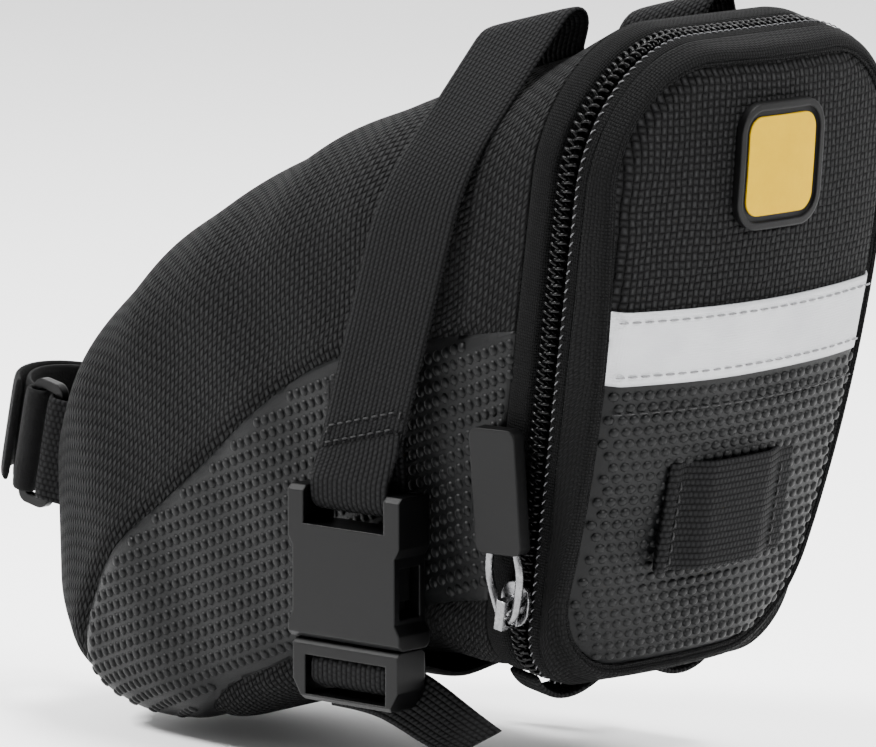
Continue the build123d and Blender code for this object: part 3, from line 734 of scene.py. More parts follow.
def body_grid():
    """Rings of points from the rim to the closed nose."""
    rim = rim_outline()
    first = zip_point(rim[:, 0], rim[:, 1], np.full(len(rim), -TAPE_W))
    rings = spline([first] + [body_section(*s) for s in BODY_SECTIONS], BODY_ROWS)
    last = rings[-1]
    centre = last.mean(0)
    cap = []
    for k in range(1, NOSE_ROWS + 1):
        share = 1 - k / NOSE_ROWS * 0.985
        cap.append(centre + (last - centre) * share + np.array([-2.4 * (1 - share**2), 0, 0]))
    return np.concatenate([rings, cap])


def seam_line(points):
    """Dense side view of a seam, run on past both of its ends."""
    dense = spline(points, 160)
    return np.concatenate([[(60, dense[0][1] + 8)], dense, [(dense[-1][0] - 3, -230)]])


rings = body_grid()
rows, cols = rings.shape[:2]
points = rings.reshape(-1, 3)
side_view = points[:, [0, 2]]
upper_gap = nearest_on(side_view, seam_line(UPPER_SEAM))
lower_gap = np.minimum(nearest_on(side_view, seam_line(LOWER_SEAM)), np.abs(points[:, 1]) - SIDE_SEAM_Y)

along = np.concatenate([np.zeros((1, cols)), np.cumsum(np.linalg.norm(np.diff(rings, axis=0), axis=2), axis=0)])
ring_step = np.linalg.norm(rings - np.roll(rings, 1, axis=1), axis=2)
ring_step[:, 0] = 0
around = np.cumsum(ring_step, axis=1)
around -= around[:, cols // 2][:, None]
centre_run = along.mean(axis=1)[:, None] * np.ones((1, cols))


def seam_dip(gap):
    """Shape of the cloth at a seam: pulled in on the line, puffed up beside it."""
    gap = np.abs(gap)
    return -0.95 * np.exp(-((gap / 1.3) ** 2)) + 0.35 * np.exp(-(((gap - 4.0) / 2.4) ** 2))


body_quads = grid_faces(rows, cols, wrap=True)
body_normals = vertex_normals(points, body_quads)
if np.dot(body_normals[cols // 2 + 30 * cols], (0, 0, 1)) < 0:
    body_quads = [tuple(reversed(f)) for f in body_quads]
    body_normals = -body_normals
px, py, pz = points.T
ripple = 0.32 * np.sin(px / 8.5 + pz / 15) * np.sin(py / 10 + 1.1) + 0.22 * np.sin(px / 4.9 - py / 6.3 + pz / 9)
fade = np.clip((centre_run.ravel() - 1) / 12, 0, 1)
dip = np.where(upper_gap < 3, seam_dip(lower_gap), 0) + seam_dip(upper_gap)
pushed = points + body_normals * (dip * fade + ripple * fade)[:, None]
RAIL_DIR = np.array([cos(RAIL_SLOPE), 0, sin(RAIL_SLOPE)])
for side in (-1, 1):
    from_rail = pushed - [0, side * RAIL_Y, 0]
    along_rail = from_rail @ RAIL_DIR
    gap = np.linalg.norm(from_rail - along_rail[:, None] * RAIL_DIR, axis=1)
    press = np.clip(DENT_REACH - gap, 0, None) * (np.abs(along_rail) < DENT_HALF_LENGTH)
    pushed[:, 2] -= press * DENT_SHARE

tilt = radians(20)
flat_uv = np.stack([centre_run.ravel(), around.ravel()], axis=1)
side_uv = np.stack([px * cos(tilt) + pz * sin(tilt), -px * sin(tilt) + pz * cos(tilt)], axis=1)
body_data = np.concatenate(
    [pushed, flat_uv, side_uv, upper_gap[:, None], lower_gap[:, None], py[:, None]], axis=1
)
FLAT_UV, SIDE_UV, UPPER_GAP, LOWER_GAP, ACROSS = [3, 4], [5, 6], 7, 8, 9
WALL = 1.9
LINING_INSET, LINING_T = 2.3, 0.45


def panel(name, data, faces, uv_cols, depth, material, body, nodes, slot, extra=None):
    """One panel, closed into a sheet. data lists each point and its UV columns; extra adds to it."""
    heap = Heap()
    heap.add(*thicken(data[:, :3], faces, data[:, uv_cols], depth))
    if extra:
        extra(heap, data, faces)
    return heap.make(name, material, body, nodes, slot)


DOT_ALONG, DOT_ROWS = 2.4, 2.75
DOT_A, DOT_B, DOT_RISE = 1.06, 1.22, 0.45
DOT_ORIGIN = (-50, -95)
DOT_BOX = ((-130, 24), (-152, -45))
DOT_CLEAR = 2.0


def side_dots(side):
    """Raised dots of a side panel, in rows along its lower seam."""

    def add_dots(heap, data, faces):
        tree = BVHTree.FromPolygons([Vector(p) for p in data[:, :3]], faces)
        along_dir, row_dir = np.array([cos(tilt), sin(tilt)]), np.array([-sin(tilt), cos(tilt)])
        upper, lower = seam_line(UPPER_SEAM), seam_line(LOWER_SEAM)
        spots = np.array(
            [((k + 0.5 * (r % 2)) * DOT_ALONG, r * DOT_ROWS) for r in range(-70, 70) for k in range(-90, 90)]
        )
        flat = spots[:, :1] * along_dir + spots[:, 1:] * row_dir + np.array(DOT_ORIGIN)
        for axis, (low, high) in enumerate(DOT_BOX):
            flat = flat[(flat[:, axis] > low) & (flat[:, axis] < high)]
        clear = (nearest_on(flat, upper) < -DOT_CLEAR) & (nearest_on(flat, lower) > DOT_CLEAR)
        for x, z in flat[clear]:
            hit, normal, _, _ = tree.ray_cast(Vector((x, side * 100, z)), Vector((0, -side, 0)))
            if hit is None or abs(normal.y) < 0.35:
                continue
            n = np.array(normal) * (1 if normal.y * side > 0 else -1)
            direction = np.array([along_dir[0], 0, along_dir[1]])
            direction -= n * np.dot(direction, n)
            direction /= np.linalg.norm(direction)
            verts, dot_faces = dome_patch(np.array(hit), n, direction, DOT_A, DOT_B, DOT_RISE)
            heap.add(verts, dot_faces, [(x, z)] * len(verts))

    return add_dots


def build_body():
    """Cut the body into its sewn panels."""
    shell = clip(body_data, body_quads, body_data[:, UPPER_GAP])
    panel("upper_shell_cloth", *shell, FLAT_UV, WALL, BLACK_WEAVE, "root", ["upper_shell"], "woven_nylon")
    below, below_faces = clip(body_data, body_quads, -body_data[:, UPPER_GAP])
    base = clip(below, below_faces, -below[:, LOWER_GAP])
    panel("bottom_cloth", *base, FLAT_UV, WALL, BLACK_WEAVE, "root", ["bottom_panel"], "woven_nylon")
    flank, flank_faces = clip(below, below_faces, below[:, LOWER_GAP])
    for side, word in ((-1, "left"), (1, "right")):
        part = clip(flank, flank_faces, flank[:, ACROSS] * side)
        name, node = f"{word}_side_vinyl", f"{word}_side_panel"
        panel(name, *part, SIDE_UV, WALL, VINYL, "root", [node], "dotted_vinyl", side_dots(side))
    inner = thicken(pushed - body_normals * LINING_INSET, body_quads, flat_uv, LINING_T)
    make_object("inner_lining_cloth", *inner, LINING, "root", ["inner_lining"], "lining_cloth")


# ---------------------------------------------------------------- rings of the rim
def ring_piece(name, profile, material, body, nodes, slot, depth, count):
    """Band round the rim. profile lists (inset, height, on_crown); on_crown heights stand on the lid's crown."""
    dense = spline([p[:2] for p in profile], count) if len(profile) > 2 else np.array([p[:2] for p in profile])
    shares = np.linspace(0, len(profile) - 1, count)
    on = np.interp(shares, range(len(profile)), [p[2] for p in profile])
    lines = []
    for (inset, height), share in zip(dense, on):
        o = rim_outline(inset, CORNER_EASE * share)
        w = height + share * (crown(o[:, 0], o[:, 1]) - LID_DEPTH)
        lines.append(zip_point(o[:, 0], o[:, 1], w))
    grid = np.array(lines)
    n = grid.shape[1]
    run = run_length(np.concatenate([grid[0], grid[0][:1]]))[:-1]
    side = np.concatenate([[0], np.cumsum(np.linalg.norm(np.diff(grid[:, 0], axis=0), axis=1))])
    uvs = np.stack(np.meshgrid(run, side), axis=2).reshape(-1, 2)
    faces = grid_faces(count, n, wrap=True)
    flat = grid.reshape(-1, 3)
    mid = count // 2 * n + n // 2
    if np.dot(vertex_normals(flat, faces)[mid], ZIP_UP + 0.2 * ZIP_NORMAL) < 0:
        faces = [tuple(reversed(f)) for f in faces]
    make_object(name, *thicken(flat, faces, uvs, depth), material, body, nodes, slot)


HINGE_HALF = 20.0
# Profiles across the rim, as ring_piece reads them. Both tapes run on under the coils.
BODY_TAPE = [
    (1.5, -8.6, 0), (0.25, -8.0, 0), (-0.25, -6.6, 0), (-0.15, -4.6, 0),
    (0.25, -3.0, 0), (1.1, -2.3, 0), (1.8, -1.7, 0), (1.95, -0.45, 0),
]
LID_TAPE = [(1.95, 0.45, 0), (1.8, 1.7, 0), (1.1, 2.3, 0), (0.3, 2.9, 0), (0.1, 4.0, 0), (0.5, 5.4, 0)]
LID_BAND = [
    (0.9, 4.9, 0), (0.3, 5.7, 0.05), (0.45, 7.6, 0.4), (0.9, 9.4, 0.8),
    (1.8, 10.6, 1), (2.6, 10.75, 1), (3.2, 10.0, 1), (3.55, 9.0, 1),
]
END_TAB_FROM, END_TAB_TO = 4.5, 27.5
END_TAB_W, END_TAB_HALF, END_TAB_SAG = -5.0, 3.6, 4.6


def chain_path(inset):
    """Path of a zipper half and its outward directions: round the rim, open over the hinge at the bottom."""
    o = rim_outline(inset)
    path = resample(np.concatenate([o, o[:1]]), 0.2)
    keep = ~((np.abs(path[:, 0]) < HINGE_HALF) & (path[:, 1] < RIM["bottom"] + 5))
    path = path[keep]
    cut = int(np.argmax(np.linalg.norm(np.diff(path, axis=0), axis=1)))
    if np.linalg.norm(path[cut + 1] - path[cut]) > 1:
        path = np.concatenate([path[cut + 1 :], path[: cut + 1]])
    flat = np.gradient(path, axis=0)
    flat /= np.linalg.norm(flat, axis=1)[:, None]
    out = np.stack([-flat[:, 1], flat[:, 0]], axis=1)
    if (out[len(out) // 2] * [0, 1]).sum() < 0:
        out = -out
    return path, out


def coil_piece(name, side, body, node):
    """Coil of monofilament: one loop to each tooth, with its head at the meeting line."""
    path, out = chain_path(0.75)
    s = run_length(path)
    step = 12
    turns = int(s[-1] // TOOTH_PITCH)
    phase = 0.0 if side > 0 else 0.5
    k = np.arange(turns * step + 1)
    angle = 2 * pi * k / step
    at = np.clip((k / step + phase) * TOOTH_PITCH + 0.3 * np.sin(angle), 0, s[-1])
    y, v = np.interp(at, s, path[:, 0]), np.interp(at, s, path[:, 1])
    oy, ov = np.interp(at, s, out[:, 0]), np.interp(at, s, out[:, 1])
    reach = side * (0.85 - 0.95 * np.cos(angle))
    rise = 0.62 * np.sin(angle)
    line = zip_point(y + oy * rise, v + ov * rise, reach)
    wire(name, line, 0.34, 6, COIL, body, [node], "coil_nylon")


def tube(line, radius, sides=8, closed=False):
    """Round tube along a path."""
    line = np.asarray(line, float)
    tangent = np.gradient(line, axis=0)
    if closed:
        tangent = (np.roll(line, -1, axis=0) - np.roll(line, 1, axis=0)) / 2
    tangent /= np.linalg.norm(tangent, axis=1)[:, None]
    frame_dir = np.cross(tangent[0], (0.31, 0.2, 0.93))
    verts = []
    for centre, t in zip(line, tangent):
        frame_dir = frame_dir - t * np.dot(frame_dir, t)
        frame_dir /= np.linalg.norm(frame_dir)
        other = np.cross(t, frame_dir)
        for k in range(sides):
            a = 2 * pi * k / sides
            verts.append(centre + radius * (cos(a) * frame_dir + sin(a) * other))
    faces = grid_faces(len(line), sides, wrap=True)
    if closed:
        last = (len(line) - 1) * sides
        faces += [(last + k, last + (k + 1) % sides, (k + 1) % sides, k) for k in range(sides)]
    else:
        faces += [tuple(reversed(range(sides))), tuple(range((len(line) - 1) * sides, len(line) * sides))]
    return np.array(verts), faces


def wire(name, line, radius, sides, material, body, nodes, slot, closed=False):
    """Object made of one round tube."""
    verts, faces = tube(line, radius, sides, closed)
    make_object(name, verts, faces, [(p[1], p[2]) for p in verts], material, body, nodes, slot)


def build_zipper():
    """Tapes, coils, stitch row, hinge cloth and the sewn ends of the zipper."""
    ring_piece("body_tape_cloth", BODY_TAPE, TAPE_CLOTH, "root", ["body_zipper_tape"], "fine_twill", 0.8, 14)
    ring_piece("lid_tape_cloth", LID_TAPE, TAPE_CLOTH, "lid", ["lid_zipper_tape"], "fine_twill", 0.8, 14)
    coil_piece("body_coil_loops", -1, "root", "body_zipper_coil")
    coil_piece("lid_coil_loops", 1, "lid", "lid_zipper_coil")
    seam = Heap()
    path, out = chain_path(0.1)
    ups = out[:, :1] * Y_AXIS + out[:, 1:] * ZIP_UP
    seam.stitch_row(zip_point(*path.T, 3.5), ups, length=1.1, gap=0.75, radius=0.14, slant=0.35)
    seam.make("lid_tape_stitches", GREY_THREAD, "lid")
    low, reach = RIM["bottom"], COIL_EDGE + 0.3
    line = resample(np.array([(-HINGE_HALF - 1, low + 0.9), (HINGE_HALF + 1, low + 0.9)]), 1.0)
    hinge = []
    for w in np.linspace(-reach, reach, 9):
        dip = 0.5 * cos(w / reach * pi / 2)
        hinge.append(zip_point(line[:, 0], line[:, 1] - 0.4 - dip, w))
    grid = np.array(hinge)
    faces = grid_faces(len(grid), grid.shape[1])
    uvs = [(p[1], i * 0.6) for i, row in enumerate(grid) for p in row]
    flat = grid.reshape(-1, 3)
    if vertex_normals(flat, faces)[5][2] > 0:
        faces = [tuple(reversed(f)) for f in faces]
    sheet = thicken(flat, faces, uvs, 0.9)
    strip = make_object("hinge_cloth", *sheet, FINE_WEAVE, None, ["lid_hinge_strip"], "fine_twill")
    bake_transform(strip)
    for side, word in ((-1, "left"), (1, "right")):
        o = rim_outline(-0.9)
        run = np.array([p for p in o if END_TAB_FROM < p[0] * side < END_TAB_TO and p[1] < -100])
        run = run[np.argsort(np.abs(run[:, 0]))]
        run = resample(run, 0.6)
        share = np.linspace(-1, 1, len(run))
        sag = END_TAB_SAG * (1 - share**2)
        centre = zip_point(run[:, 0] + side * sag * 0.25, run[:, 1] - sag, END_TAB_W)
        half = np.repeat((ZIP_NORMAL * END_TAB_HALF)[None], len(run), axis=0)
        verts, faces, uvs = Ribbon(centre, half, 1.3, (0, side * 0.3, -1)).mesh()
        uvs = [(b, a) for a, b in uvs]
        name, node = f"{word}_end_tab_webbing", f"{word}_zipper_end_tab"
        make_object(name, verts, faces, uvs, WEBBING, "root", [node], "webbing")


# ---------------------------------------------------------------- lid
YV = [3, 4]
FACE_LOW, FACE_HIGH = -125, 3
LID_DOT_TOP = -64
LID_DOT_A, LID_DOT_B, LID_DOT_RISE = 1.24, 1.02, 0.48


def fold_dip(gap):
    """How far the lid's face drops beside the crease round its rim."""
    return -FOLD_DEPTH * np.exp(-((np.maximum(gap, 0) / FOLD_REACH) ** 2))


def crown_sheet(v_low, v_high, spacing, lift, inset, fold=True):
    """Sheet on the lid's crown, cut to the rim moved in by inset: points with (y, v), and faces."""
    y_half = 45
    ys = np.linspace(-y_half, y_half, int(2 * y_half / spacing) + 1)
    vs = np.linspace(v_low, v_high, int((v_high - v_low) / spacing) + 1)
    y, v = (m.ravel() for m in np.meshgrid(ys, vs))
    outline = rim_outline(inset, CORNER_EASE)
    gap = nearest_on(np.stack([y, v], axis=1), outline, closed=True)
    if gap[np.argmin(y**2 + (v + 60) ** 2)] < 0:
        gap = -gap
    crease_gap = gap + (inset - CREASE)
    w = crown(y, v) + lift
    if fold:
        w = w + fold_dip(crease_gap)
    w = w + 0.12 * np.sin(y / 6.1 + v / 10.3) * np.sin(v / 7.7)
    data = np.concatenate([zip_point(y, v, w), np.stack([y, v, gap], axis=1)], axis=1)
    data, faces = clip(data, grid_faces(len(vs), len(ys)), gap)
    if np.dot(vertex_normals(data[:, :3], faces).mean(0), ZIP_NORMAL) <= 0:
        faces = [tuple(reversed(f)) for f in faces]
    return data, faces


def build_lid():
    """Band, piping, panels, strip, lining board, mesh pocket and light loop."""
    ring_piece("lid_band_cloth", LID_BAND, FINE_WEAVE, "lid", ["lid_band"], "fine_twill", 0.9, 22)
    o = rim_outline(CREASE - 0.05, CORNER_EASE)
    line = zip_point(*o.T, crown(*o.T) - 1.35)
    wire("lid_piping_cord", line, 0.6, 8, FINE_WEAVE, "lid", ["lid_piping"], "fine_twill", closed=True)

    data, faces = crown_sheet(FACE_LOW, FACE_HIGH, 1.15, 0, CREASE)
    upper = clip(data, faces, data[:, 4] - PANEL_SPLIT)
    cloth = panel("lid_upper_cloth", *upper, YV, 1.6, BLACK_WEAVE, "lid", ["lid_upper_panel"], "woven_nylon")
    lower = clip(data, faces, PANEL_SPLIT - data[:, 4])
    vinyl_panel = panel(
        "lid_lower_vinyl", *lower, YV, 1.6, VINYL, "lid", ["lid_lower_panel"], "dotted_vinyl", add_lid_dots
    )

    strip = crown_sheet(STRIP_LOW, STRIP_TOP, 0.9, 0.55, CREASE + 0.1)
    tape = panel("reflective_tape", *strip, YV, 0.5, SILVER, "lid", ["reflective_strip"], "reflective_film")

    board = crown_sheet(FACE_LOW, FACE_HIGH, 2.5, -2.5, CREASE + 1.5, fold=False)
    panel("lid_lining_board", *board, YV, 1.1, LINING, "lid", ["lid_stiffener"], "foam_board")
    build_pocket()
    build_lid_stitches()
    build_light_loop()


def add_lid_dots(heap, *_):
    """Raised dots of the lid's lower panel."""
    outline = rim_outline(CREASE, CORNER_EASE)
    spots = np.array(
        [
            ((k + 0.5 * (r % 2)) * DOT_ROWS, LID_DOT_TOP - r * DOT_ALONG)
            for r in range(-3, 28)
            for k in range(-17, 17)
        ]
    )
    gap = nearest_on(spots, outline, closed=True)
    if gap[np.argmin(spots[:, 0] ** 2 + (spots[:, 1] + 90) ** 2)] < 0:
        gap = -gap
    for (y, v), g in zip(spots, gap):
        if g < 1.5 or v > STRIP_LOW - 0.8:
            continue
        e = 0.5
        slope_y = (crown(y + e, v) - crown(y - e, v)) / (2 * e)
        slope_v = (crown(y, v + e) - crown(y, v - e)) / (2 * e)
        n = ZIP_NORMAL - slope_y * Y_AXIS - slope_v * ZIP_UP
        n /= np.linalg.norm(n)
        centre = zip_point(y, v, crown(y, v) + fold_dip(g)).ravel()
        along_dir = Y_AXIS - n * n[1]
        along_dir /= np.linalg.norm(along_dir)
        verts, faces = dome_patch(centre, n, along_dir, LID_DOT_A, LID_DOT_B, LID_DOT_RISE)
        heap.add(verts, faces, [(y, v)] * len(verts))


def crown_path(points, lift):
    """Path on the lid's crown through (y, v) points, and its outward directions."""
    p = resample(np.asarray(points, float), 0.8)
    return zip_point(*p.T, crown(*p.T) + lift), np.repeat(ZIP_NORMAL[None], len(p), axis=0)


def build_lid_stitches():
    """Two rows on the reflective tape and one in the vinyl below it."""
    on_tape = Heap()
    for v, half in ((STRIP_TOP - 1.9, 38.5), (STRIP_LOW + 1.9, 37.5)):
        on_tape.stitch_row(*crown_path([(-half, v), (half, v)], 0.55), length=2.2, gap=0.9, radius=0.2)
    on_tape.make("reflective_tape_stitches", TAPE_THREAD, "lid")
    below = Heap()
    v, half = STRIP_LOW - 5.6, 36.5
    below.stitch_row(*crown_path([(-half, v), (half, v)], 0.25), length=2.3, gap=0.9, radius=0.2)
    below.make("lid_panel_stitches", BLACK_THREAD, "lid")


def build_pocket():
    """Knotted mesh pocket with a bound edge, on the inside of the lid."""
    half, low, high = 30.0, -100 * ZIP_SCALE, -50 * ZIP_SCALE
    pitch = 2.4
    heap = Heap()
    depth = -4.35
    for sign in (-1, 1):
        for k in range(-46, 47):
            ends = []
            for v in np.arange(low, high + 0.1, 1.2):
                y = k * pitch + sign * (v - low)
                if abs(y) <= half:
                    ends.append((y, v))
            if len(ends) > 3:
                p = np.array(ends)
                knots = 0.18 * sign * np.sin(p[:, 1] / pitch * pi)
                heap.add(*tube(zip_point(*p.T, crown(*p.T) + depth + knots), 0.2, 5))
    frame_line = np.array([(-half, low), (half, low), (half, high), (-half, high), (-half, low)])
    p = resample(frame_line, 1.5)
    heap.add(*tube(zip_point(*p.T, crown(*p.T) + depth), 0.55, 7))
    heap.make("mesh_pocket_net", MESH_CLOTH, "lid", ["lid_mesh_pocket"], "mesh_cloth")


def build_light_loop():
    """Webbing loop for a rear light, sewn down at both ends with a folded left edge."""
    y = np.concatenate([[-LOOP_W / 2 - 0.4], np.linspace(-LOOP_W / 2, LOOP_W / 2, 60)])
    edge = np.clip((LOOP_W / 2 - 3.4 - np.abs(y)) / 7.5, 0, 1)
    arch = 1.9 * edge**2 * (3 - 2 * edge)
    fold = 0.9 * np.exp(-(((y + LOOP_W / 2 - 1.0) / 1.6) ** 2))
    centre = zip_point(y, LOOP_V, crown(y, LOOP_V) + 0.75 + arch + fold)
    half = np.repeat((ZIP_UP * LOOP_H / 2)[None], len(y), axis=0)
    band = Ribbon(centre, half, WEBBING_T, ZIP_NORMAL, 17)
    band.make("light_loop_webbing", WEBBING, "lid", ["light_loop"], "webbing")
    fold_y = np.linspace(-LOOP_W / 2 + 0.3, -LOOP_W / 2 + 4.2, 12)
    under = zip_point(fold_y, LOOP_V, crown(fold_y, LOOP_V) + 0.35)
    Ribbon(under, half[:12], 0.9, ZIP_NORMAL).make("light_loop_fold", WEBBING, "lid", slot="webbing")
    seam = Heap()
    for s in (2.6, 34.4):
        band.cross_stitches(seam, s, reach=0.9, length=1.8, gap=0.7, radius=0.2)
    seam.make("light_loop_stitches", BLACK_THREAD, "lid")


# ---------------------------------------------------------------- straps
def arc_points(centre, radius, a0, a1, count):
    """Points of an arc, both ends included."""
    a = np.linspace(a0, a1, count)
    return np.stack([centre[0] + radius * np.cos(a), centre[1] + radius * np.sin(a)], axis=1)


def strap_profile():
    """Strap's centre line across the bag: sewn foot, round the rail, over the shoulder, down the side."""
    saddle_r = RAIL_BORE + WEBBING_T / 2
    shoulder_y = -(BUCKLE_Y - WEBBING_T / 2) + SHOULDER_R
    gap_y, gap_z = RAIL_Y - shoulder_y, -SHOULDER_Z
    wrap_to = atan2(gap_z, gap_y) + acos((SHOULDER_R - saddle_r) / hypot(gap_y, gap_z))
    rise = RAIL_Y + saddle_r
    foot_z = -RAIL_BORE - 1.2
    foot = np.array([(rise + 9, foot_z), (rise + 2.2, foot_z), (rise + 0.6, foot_z + 0.7), (rise, foot_z + 2.2)])
    over = arc_points((RAIL_Y, 0), saddle_r, 0, wrap_to, 14)
    shoulder = arc_points((shoulder_y, SHOULDER_Z), SHOULDER_R, wrap_to, pi, 26)
    down = np.array([(shoulder_y - SHOULDER_R, z) for z in (-45.0, -60.0, -74.0)])
    return resample(np.concatenate([foot, over, shoulder, down]), 1.0)


def left_strap_path():
    """Centre points and half-width vectors of the left strap, ending round the buckle's bar."""
    c, s = cos(RAIL_SLOPE), sin(RAIL_SLOPE)
    half_cut = WEBBING_W / 2 * sqrt(1 + STRAP_LEAN**2)
    centre, half = [], []
    for y, z in strap_profile():
        edges = []
        for reach in (-half_cut, half_cut):
            t = (BUCKLE_X + reach + STRAP_LEAN * (c * z - STRAP_STRAIGHT_Z) + s * z) / (c - STRAP_LEAN * s)
            edges.append(np.array([-s * z + t * c, y, c * z + t * s]))
        centre.append((edges[0] + edges[1]) / 2)
        half.append((edges[1] - edges[0]) / 2)
    bar_r = 2.65
    bar_z = SOCKET_TOP - 1.6
    side_y = centre[-1][1]
    tuck = [(side_y - 0.3, -78.5), (side_y - 1.2, -81.5), (-BUCKLE_Y - bar_r, -86.5), (-BUCKLE_Y - bar_r, bar_z)]
    tuck = np.concatenate([tuck, arc_points((-BUCKLE_Y, bar_z), bar_r, pi * 1.08, 2 * pi, 9)])
    inner_y = -BUCKLE_Y + bar_r
    back = [(inner_y, -86.0), (inner_y - 0.3, -82.5), (side_y + 1.5, -78.0), (side_y + 1.45, -68.0)]
    low = resample(np.concatenate([tuck, back]), 0.8)
    last_half = half[-1]
    for k, (y, z) in enumerate(low):
        ease = min(1.0, k / 10)
        centre.append(np.array([BUCKLE_X, y, z]))
        half.append(last_half * (1 - ease) + np.array([WEBBING_W / 2, 0, 0]) * ease)
    return np.array(centre), np.array(half)


def both_sides(build):
    """Run a builder for the left side and for its mirrored right side."""
    for side, word in ((1.0, "left"), (-1.0, "right")):
        build(np.array([1.0, side, 1.0]), word, -side)


def build_strap(flip, word, out):
    """Strap over a rail, its sewn foot and the fold at the buckle."""
    centre, half = left_strap_path()
    strap = Ribbon(centre * flip, half * flip, WEBBING_T, (0, out, 0))
    strap.make(f"{word}_strap_webbing", WEBBING, "root", [f"{word}_strap"], "webbing")
    seam = Heap()
    fold = strap.s[np.argmin(np.abs(centre[:, 2] + 77) + (centre[:, 1] > -43) * 99)]
    for s in (fold - 3.2, fold + 0.4):
        strap.cross_stitches(seam, s, reach=0.86, length=1.7, gap=0.6, radius=0.19)
    for a in (-0.84, 0.84):
        strap.long_stitches(seam, fold - 3.2, fold + 0.4, a, length=1.5, gap=0.5, radius=0.19)
    for s in (2.2, 6.4):
        strap.cross_stitches(seam, s, reach=0.84, length=1.8, gap=0.7, radius=0.2)
    seam.make(f"{word}_strap_stitches", BLACK_THREAD, "root")


# Paths of the lower strap and of the webbing round the plug, as (y, z) under the left rail strap.
LOWER_PATH = [
    (-46.4, -122.9), (-42, -122.9), (-37.4, -123.1), (-31, -124.9), (-25, -126.1), (-18, -125.6), (-10.5, -124.6),
]
PLUG_PATH = [
    (-43.6, -121.3), (-46.3, -121.4), (-47.35, -122.4), (-47.5, -124.2), (-47.35, -126.0), (-46.3, -127.0),
    (-43.6, -127.1),
]
# Free tail, as x from the buckle, y and z; its half width turns and narrows on the way.
TAIL_PATH = [
    (-8.5, -41.3, -126.6), (-1, -40.9, -127.0), (6, -40.5, -128.0), (13, -40.3, -130.4), (20, -39.8, -133.6),
    (25.5, -39.0, -136.0),
]
TAIL_HALF = [(1.0, 0.4, 5.8), (2.2, 0.8, 5.6), (3.2, 1.4, 5.2), (4.8, 2.0, 3.0)]


def buckle_ribbon(path, count, half_width, thickness, flip, outward):
    """Webbing of one width along a (y, z) path in the buckle's plane."""
    line = spline(path, count)
    centre = np.stack([np.full(count, BUCKLE_X), line[:, 0], line[:, 1]], axis=1)
    half = np.repeat([[half_width, 0, 0]], count, axis=0)
    return Ribbon(centre * flip, half, thickness, outward)


def build_lower_strap(flip, word, out):
    """Strap from under the bag to the buckle's plug, and its free tail."""
    lower = buckle_ribbon(LOWER_PATH, 48, WEBBING_W / 2, WEBBING_T, flip, (0, 0, -1))
    strap = lower.make(f"{word}_lower_webbing", WEBBING, None, [f"{word}_lower_strap"], "webbing")
    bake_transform(strap)
    heading = np.array([out * -1.0, 1.0, 1.0])
    centre = (spline(TAIL_PATH, 44) * heading + [BUCKLE_X, 0, 0]) * flip
    tail = Ribbon(centre, spline(TAIL_HALF, 44) * heading * flip, WEBBING_T, (0, out, -0.6))
    tail.make(f"{word}_tail_webbing", WEBBING, f"{word}_plug", [f"{word}_strap_tail"], "webbing")
    wrap = buckle_ribbon(PLUG_PATH, 26, PLUG_SLOT_HALF, 1.1, flip, (0, out, 0))
    wrap.make(f"{word}_plug_webbing", WEBBING, f"{word}_plug", slot="webbing")


# ---------------------------------------------------------------- seat-post strap
def post_points(flat):
    """Points of the plane across the seat post, in the part's frame."""
    flat = np.asarray(flat, float)
    return POST_ORIGIN + flat[:, :1] * POST_ALONG + flat[:, 1:] * Y_AXIS


def post_ribbon(name, flat, thickness, material, body, node, slot, outward):
    """Band round the seat post."""
    centre = post_points(resample(flat, 0.8))
    half = np.repeat((POST_UP * POST_BAND_W / 2)[None], len(centre), axis=0)
    band = Ribbon(centre, half, thickness, outward)
    band.make(name, material, body, [node], slot)
    return band


def build_post_strap():
    """Loop round the seat post, ring tab, and the flap that turns back on it."""
    front, rear, eye = POST_ARC_X - 2.0, POST_ARC_X - 2.0 + 6.5, 1.67 + 0.6
    ahead = -POST_ALONG
    loop = np.concatenate(
        [
            [(16.0, POST_HALF - 1.2), (9.0, POST_HALF - 0.2)],
            arc_points((POST_ARC_X, 0), POST_HALF, pi / 2, 1.5 * pi - 0.14, 44),
            arc_points((front, -POST_HALF), eye, pi, 2 * pi - 0.3, 9),
            [(front + eye - 0.7, -POST_HALF + eye + 0.3), (front - 2.4, -POST_HALF + 2.3)],
        ]
    )
    post_ribbon("post_strap_webbing", loop, 1.3, FUZZY, "root", "post_strap", "loop_pile", ahead)
    tab = np.concatenate(
        [
            [(17.0, -POST_HALF + 1.3), (11.0, -POST_HALF - 0.2)],
            arc_points((rear, -POST_HALF), eye, -pi / 2 + 0.25, -1.5 * pi + 0.4, 12),
            [(rear + 1.4, -POST_HALF + eye + 0.1), (13.0, -POST_HALF + 2.2)],
        ]
    )
    post_ribbon("post_ring_tab_webbing", tab, 1.2, WEBBING, "root", "post_ring_tab", "webbing", -Y_AXIS)
    flap_r = POST_HALF + POST_T + 0.3
    flap_x = POST_ARC_X - 0.5
    turn = arc_points((flap_x, 0), flap_r, radians(240), pi / 2, 40)
    turn = np.concatenate([turn, [(flap_x + 1.0, flap_r), (3.0, flap_r)]])
    flap = post_ribbon("post_flap_webbing", turn, 1.5, FUZZY, "post_flap", "post_strap_flap", "loop_pile", ahead)
    seam = Heap()
    flap.cross_stitches(seam, flap.s[-1] - 2.5, reach=0.86, length=1.8, gap=0.7, radius=0.2)
    seam.make("post_flap_stitches", BLACK_THREAD, "post_flap")


